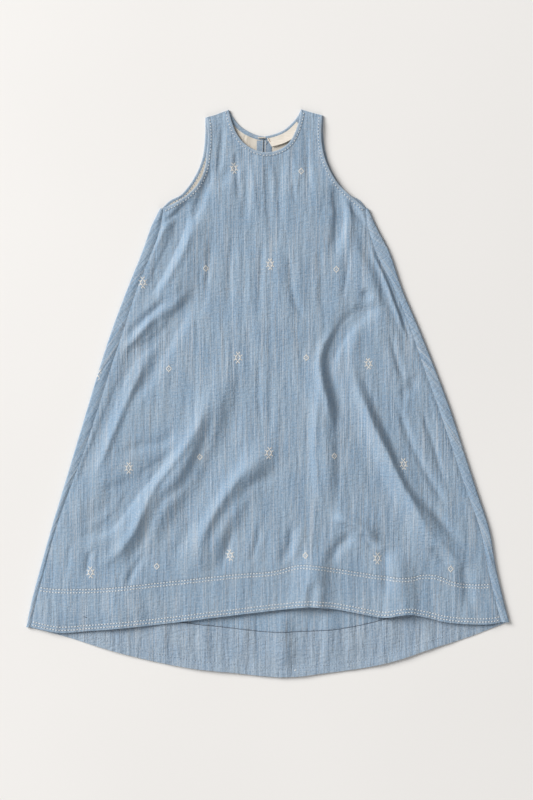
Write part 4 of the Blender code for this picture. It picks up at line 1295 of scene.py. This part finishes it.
def make_crinkle_group():
    """Soft ripples and rumples left by washing."""
    group, start, end = new_group(
        "washed_crinkle", (("Grain", "NodeSocketVector", None), ("Ripples per metre", "NodeSocketFloat", 60.0)),
        (("Height", "NodeSocketFloat"), ("Tone", "NodeSocketFloat")))
    grain, rate = start.outputs[:2]
    heights = [shifted_noise(group, grain, (rate, rate), shares, shift, 2.0)
               for *shares, shift in ((1.0, 0.13, 0.0), (2.4, 0.5, 5.7), (0.45, 0.25, 17.9), (1.3, 3.6, 29.3))]
    height = maths(group, "MULTIPLY_ADD", heights[3], 0.5,
                   maths(group, "MULTIPLY_ADD", heights[1], 0.4, heights[0]))
    group.links.new(height, end.inputs["Height"])
    group.links.new(between(group, heights[2], 0.35, 0.65), end.inputs["Tone"])
    return group


def new_material(name, roughness, sheen=0.0, specular=0.25):
    material = bpy.data.materials.new(name)
    material.use_nodes = True
    tree = material.node_tree
    shader = tree.nodes["Principled BSDF"]
    shader.inputs["Roughness"].default_value = roughness
    shader.inputs["Specular IOR Level"].default_value = specular
    shader.inputs["Sheen Weight"].default_value = sheen
    shader.inputs["Sheen Roughness"].default_value = 0.5
    shader.inputs["Metallic"].default_value = 0.0
    return material, tree, shader


def bumped(tree, shader, height, distance):
    """Height in steps of distance metres, as a bump."""
    bump = add(tree, "ShaderNodeBump", {"Strength": 1.0, "Distance": distance, "Height": height})
    tree.links.new(bump.outputs[0], shader.inputs["Normal"])


def chambray_material(name, groups, look, strip=False):
    """Pale blue slub chambray: pale and dark yarns over a washed blue, a weave and a crinkle. On strips, also a
    lighter rim that is partly edge wear and partly painted highlight, and painted shade in the stitch dent.
    """
    material, tree, shader = new_material(name, 0.88, sheen=0.12)
    grain = cloth_grain(tree)
    yarns, threads, ripples = (used_group(tree, group, grain) for group in groups)
    weft = noise(tree, grain, 45.0, 700.0, 1.0)
    speck = noise(tree, grain, 520.0, 330.0, 1.0)
    base = mixed(tree, ripples.outputs["Tone"], look["deep"], look["washed"])
    base = tinted(tree, base, yarns.outputs["Dark"], look["dark_share"], look["dark"])
    base = tinted(tree, base, yarns.outputs["Pale"], look["pale_share"], look["pale"])
    base = mixed(tree, between(tree, weft, 0.55, 0.75, 0.0, look["weft_share"]), base, look["weft"])
    base = mixed(tree, between(tree, speck, 0.52, 0.75, 0.0, 0.4), base, look["dark"])
    base = mixed(tree, between(tree, speck, 0.48, 0.28, 0.0, 0.35), base, look["pale"])
    # Painted shade in the gaps of the weave.
    base = tinted(tree, base, threads.outputs["Gap"], 0.25, look["dark"])
    height = maths(tree, "MULTIPLY_ADD", ripples.outputs["Height"], look["crinkle"],
                   maths(tree, "MULTIPLY_ADD", yarns.outputs["Height"], look["slub"],
                         maths(tree, "MULTIPLY", threads.outputs["Height"], look["weave"])))
    if strip:
        place = add(tree, "ShaderNodeUVMap", uv_map=STRIP_MAP).outputs[0]
        along, across, _ = add(tree, "ShaderNodeSeparateXYZ", {0: place}).outputs
        # Partly edge wear, partly painted highlight: the binding's rounded outer edge is lightened in patches
        # where it catches the light.
        wear_and_highlight = noise(tree, grain, 240.0, 240.0, 2.0)
        rim = maths(tree, "MULTIPLY", between(tree, across, 0.34, 0.02), between(tree, wear_and_highlight, 0.25, 0.6))
        base = tinted(tree, base, rim, look["wear_and_highlight_share"], look["pale"])
        # Painted shade: the dent that the binding's stitches lie in is darkened in colour, besides the puckers
        # bumped along it.
        from_row = maths(tree, "ABSOLUTE", maths(tree, "SUBTRACT", across, STITCH_DENT))
        dent = between(tree, from_row, STITCH_DENT_WIDE, 0.0)
        base = tinted(tree, base, dent, 0.7, look["dark"])
        pucker = maths(tree, "SINE", maths(tree, "MULTIPLY", along, 2 * math.pi / (SEAM_ROW[0] * MM)))
        height = maths(tree, "MULTIPLY_ADD", maths(tree, "MULTIPLY", dent, pucker), 0.12, height)
    tree.links.new(base, shader.inputs["Base Color"])
    tree.links.new(between(tree, yarns.outputs["Pale"], 0.0, 1.0, 0.9, 0.78), shader.inputs["Roughness"])
    bumped(tree, shader, height, MM)
    return material


def lining_material(name, groups):
    """Plain cream lining with a fine weave and a few thick yarns."""
    material, tree, shader = new_material(name, 0.85, sheen=0.1)
    grain = cloth_grain(tree)
    yarns, threads, ripples = (used_group(tree, group, grain, *values)
                               for group, values in zip(groups, ((420.0, 30.0), (1800.0,), (90.0,))))
    base = mixed(tree, ripples.outputs["Tone"], LINING_DEEP, LINING_PALE)
    base = tinted(tree, base, yarns.outputs["Dark"], 0.25, LINING_YARN)
    # Painted shade in the gaps of the lining's weave.
    base = tinted(tree, base, threads.outputs["Gap"], 0.3, LINING_YARN)
    tree.links.new(base, shader.inputs["Base Color"])
    height = maths(tree, "MULTIPLY_ADD", ripples.outputs["Height"], 0.35,
                   maths(tree, "MULTIPLY", threads.outputs["Height"], 0.05))
    bumped(tree, shader, height, MM)
    return material


def label_material(name, groups):
    """A bare woven label: cream satin with fine ribs and a soft sheen."""
    _, weave, crinkled = groups
    material, tree, shader = new_material(name, 0.55, sheen=0.25, specular=0.4)
    grain = cloth_grain(tree)
    threads, ripples = used_group(tree, weave, grain, 2400.0), used_group(tree, crinkled, grain, 70.0)
    ribs = noise(tree, grain, 60.0, 1500.0, 1.0)
    base = mixed(tree, between(tree, ribs, 0.35, 0.65), LABEL_DEEP, LABEL_PALE)
    tree.links.new(base, shader.inputs["Base Color"])
    height = maths(tree, "MULTIPLY_ADD", ripples.outputs["Height"], 0.3,
                   maths(tree, "MULTIPLY_ADD", ribs, 0.06,
                         maths(tree, "MULTIPLY", threads.outputs["Height"], 0.03)))
    bumped(tree, shader, height, MM)
    return material


def thread_material(name, deep, pale, roughness):
    """Twisted sewing thread: fine slanting plies and a little unevenness."""
    material, tree, shader = new_material(name, roughness, sheen=0.2)
    place = add(tree, "ShaderNodeTexCoord").outputs["Object"]
    uneven = add(tree, "ShaderNodeTexNoise", {"Vector": place, "Scale": 900.0, "Detail": 2.0}).outputs[0]
    plies = add(tree, "ShaderNodeTexWave", {"Vector": place, "Scale": 420.0, "Distortion": 1.5, "Detail": 1.0},
                bands_direction="DIAGONAL").outputs["Fac"]
    tree.links.new(mixed(tree, between(tree, uneven, 0.3, 0.7), deep, pale), shader.inputs["Base Color"])
    bumped(tree, shader, maths(tree, "MULTIPLY_ADD", plies, 0.12, maths(tree, "MULTIPLY", uneven, 0.08)), MM)
    return material


def floor_material():
    material, tree, shader = new_material("pale_floor", 0.9, specular=0.1)
    place = add(tree, "ShaderNodeTexCoord").outputs["Object"]
    cloudy = add(tree, "ShaderNodeTexNoise", {"Vector": place, "Scale": 1.3, "Detail": 2.0}).outputs[0]
    shade = mixed(tree, between(tree, cloudy, 0.3, 0.7), FLOOR_DEEP, FLOOR_PALE)
    tree.links.new(shade, shader.inputs["Base Color"])
    return material


def make_floor():
    """A plain pale floor that the dress lies on."""
    half = FLOOR_SIZE / 2
    mesh = bpy.data.meshes.new("floor")
    corners = [(-half, -half, 0), (half, -half, 0), (half, half, 0), (-half, half, 0)]
    mesh.from_pydata(corners, [], [(0, 1, 2, 3)])
    mesh.materials.append(floor_material())
    floor = bpy.data.objects.new("floor", mesh)
    bpy.context.scene.collection.objects.link(floor)


def area_light(name, place, aim, size, power, colour):
    light = bpy.data.lights.new(name, "AREA")
    light.shape = "DISK"
    light.size = size
    light.energy = power
    light.color = colour
    lamp = bpy.data.objects.new(name, light)
    lamp.location = place
    lamp.rotation_euler = (Vector(aim) - Vector(place)).to_track_quat("-Z", "Y").to_euler()
    bpy.context.scene.collection.objects.link(lamp)


def light_scene():
    for light in LIGHTS:
        area_light(*light)
    world = bpy.data.worlds.new("pale_room")
    world.use_nodes = True
    background = world.node_tree.nodes["Background"]
    background.inputs["Color"].default_value = ROOM_COLOUR
    background.inputs["Strength"].default_value = ROOM_STRENGTH
    bpy.context.scene.world = world
    bpy.context.scene.view_settings.view_transform = "Standard"
    bpy.context.scene.view_settings.exposure = EXPOSURE


def make_camera():
    """Straight above the dress, with its top towards the neck. The frame is 533 by 800."""
    camera = bpy.data.cameras.new("photo_camera")
    camera.sensor_fit = "VERTICAL"
    camera.sensor_height = SENSOR
    camera.sensor_width = SENSOR
    camera.lens = LENS
    holder = bpy.data.objects.new("photo_camera", camera)
    distance = FRAME_TALL * LENS / SENSOR
    holder.location = (FRAME_CENTRE[0], FRAME_CENTRE[1], distance)
    bpy.context.scene.collection.objects.link(holder)
    bpy.context.scene.camera = holder


def make_looks():
    """The materials, each by a short name."""
    groups = make_slub_group(), make_weave_group(), make_crinkle_group()
    looks = {"chambray": chambray_material("slub_chambray", groups, CHAMBRAY),
             "inside": chambray_material("slub_chambray_inside", groups, CHAMBRAY_INSIDE),
             "trim": chambray_material("bias_chambray", groups, CHAMBRAY_TRIM, strip=True),
             "placket": chambray_material("placket_chambray", groups, CHAMBRAY_TRIM),
             "lining": lining_material("cream_lining_cloth", groups),
             "label": label_material("woven_label_cloth", groups)}
    for name, look in THREADS.items():
        looks[name] = thread_material(name, *look)
    return looks


def sewn(lines, row=SEAM_ROW, start=ROW_START):
    """Stitches along each of these lines."""
    return np.vstack([threads_along(np.array(line, float), *row, start) for line in lines])


def needle_holes(lines, row):
    """Dark marks in the middle of the gaps between the stitches of these lines: painted shade in the needle
    holes.
    """
    pitch, length = row
    return sewn(lines, (pitch, NEEDLE_HOLE), ROW_START + (pitch + length - NEEDLE_HOLE) / 2)


def stitch_rows(body, band):
    """The threads of each piece of sewing, with the surface they lie on and their material."""
    white, blue, dark, brown = "white_topstitch", "blue_thread", "dark_blue_thread", "brown_thread"
    armhole, back_armhole = body[FRONT_CHEST_ROW:], BACK[BACK_CORNER:]
    band_lines = [moved_sideways(band[-1], by) for by in BAND_STITCHES]
    band_lines += [moved_sideways(band[0], -by) for by in HEM_STITCHES]
    front_lines = [moved_sideways(line, by) for line, by in (
        (front_neck(body[-1]), BINDING_STITCH), (armhole[:, 0], BINDING_STITCH),
        (armhole[:, -1], -BINDING_STITCH))]
    back_lines = [moved_sideways(BACK[-1, columns], BINDING_STITCH) for columns in BACK_NECKS.values()]
    back_lines += [moved_sideways(back_armhole[:, 0], BINDING_STITCH),
                   moved_sideways(back_armhole[:, -1], -BINDING_STITCH)]
    facing, turned_hem = BACK[back_row(BAND_ROWS)], moved_sideways(BACK[0], -HEM_TURN)
    under_lines = [moved_sideways(facing, UNDER_FACING_STITCH), turned_hem, *back_lines]
    return {
        "band_stitches": (sewn(band_lines), band_top, white),
        "neck_and_armhole_stitches": (sewn(front_lines, BINDING_ROW), on_binding, white),
        "back_binding_stitches": (sewn(back_lines, BINDING_ROW), on_back_binding, blue),
        "facing_stitches": (sewn([moved_sideways(facing, FACING_STITCH)], FACING_ROW), facing_top, dark),
        "hem_stitches": (sewn([turned_hem]), facing_top, blue),
        "underside_stitches": (sewn(under_lines), on_underside, white),
        # Dark thread marks as painted shade in the needle holes
        "band_needle_holes": (needle_holes(band_lines, SEAM_ROW), band_top, dark),
        "neck_and_armhole_needle_holes": (needle_holes(front_lines, BINDING_ROW), on_binding, dark),
        "band_seam_stitches": (sewn(BAND_SEAMS, BAND_SEAM_ROW), band_top, blue),
        "band_slub": (np.array(BAND_SLUB), band_top, dark),
        "hem_knot": (np.array(HEM_KNOT), facing_top, white),
        # Painted shade: a continuous dark thread line along the placket's diagonal fold beside the slit.
        "placket_fold_shade": (sewn([PLACKET_FOLD_SHADE], PLACKET_ROW, PLACKET_ROW_START), placket_top, dark),
        "label_stitches": (np.array(LABEL_STITCHES), on_label, brown),
    }


def make_stitches(body, band, looks):
    """A piece for each kind of stitch and for the painted shade in the needle holes."""
    for name, (threads, surface, look) in stitch_rows(body, band).items():
        high = NEEDLE_HOLE_HIGH if name.endswith("needle_holes") else THREAD_HIGH
        high = UNDER_THREADS if surface is on_underside else high
        wide = DARK_THREAD_WIDE if look == "dark_blue_thread" else THREAD_WIDE
        thread_piece(name, threads, wide, high, surface, looks[look])


def make_motifs(floss):
    """The motifs on the front, on the rolled sides and on the outside of the back."""
    motifs = np.vstack([motif_threads(STAR, STARS, 3), motif_threads(DIAMOND, DIAMONDS, 4)])
    x = motifs[:, 0]
    left, right, left_seam, right_seam = side_places(motifs[:, 1])
    on_front = (x > left_seam + 1) & (x < right_seam - 1)
    on_flap = ~on_front & (x > left + 1) & (x < right - 1)
    back = np.vstack([motif_threads(STAR, back_centres(BACK_STARS_START), 5),
                      motif_threads(DIAMOND, back_centres(BACK_DIAMONDS_START), 6)])
    thread_piece("front_motifs", motifs[on_front], FLOSS_WIDE, FLOSS_HIGH, front_top, floss)
    thread_piece("side_motifs", motifs[on_flap], FLOSS_WIDE, FLOSS_HIGH, flap_top, floss)
    thread_piece("back_motifs", back, FLOSS_WIDE, UNDER_THREADS, on_underside, floss)


def main():
    light_scene()
    make_camera()
    make_floor()
    looks = make_looks()
    pieces, body, band = make_front(looks["chambray"], looks["trim"])
    pieces["back_panel"] = make_back(looks["chambray"])
    pieces.update(make_back_trim(looks))
    pieces["slit_thread_bar"] = make_thread_bar(looks["cream_bar_thread"])
    for node, piece in pieces.items():
        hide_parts(node)
    make_stitches(body, band, looks)
    make_motifs(looks["motif_floss"])


main()
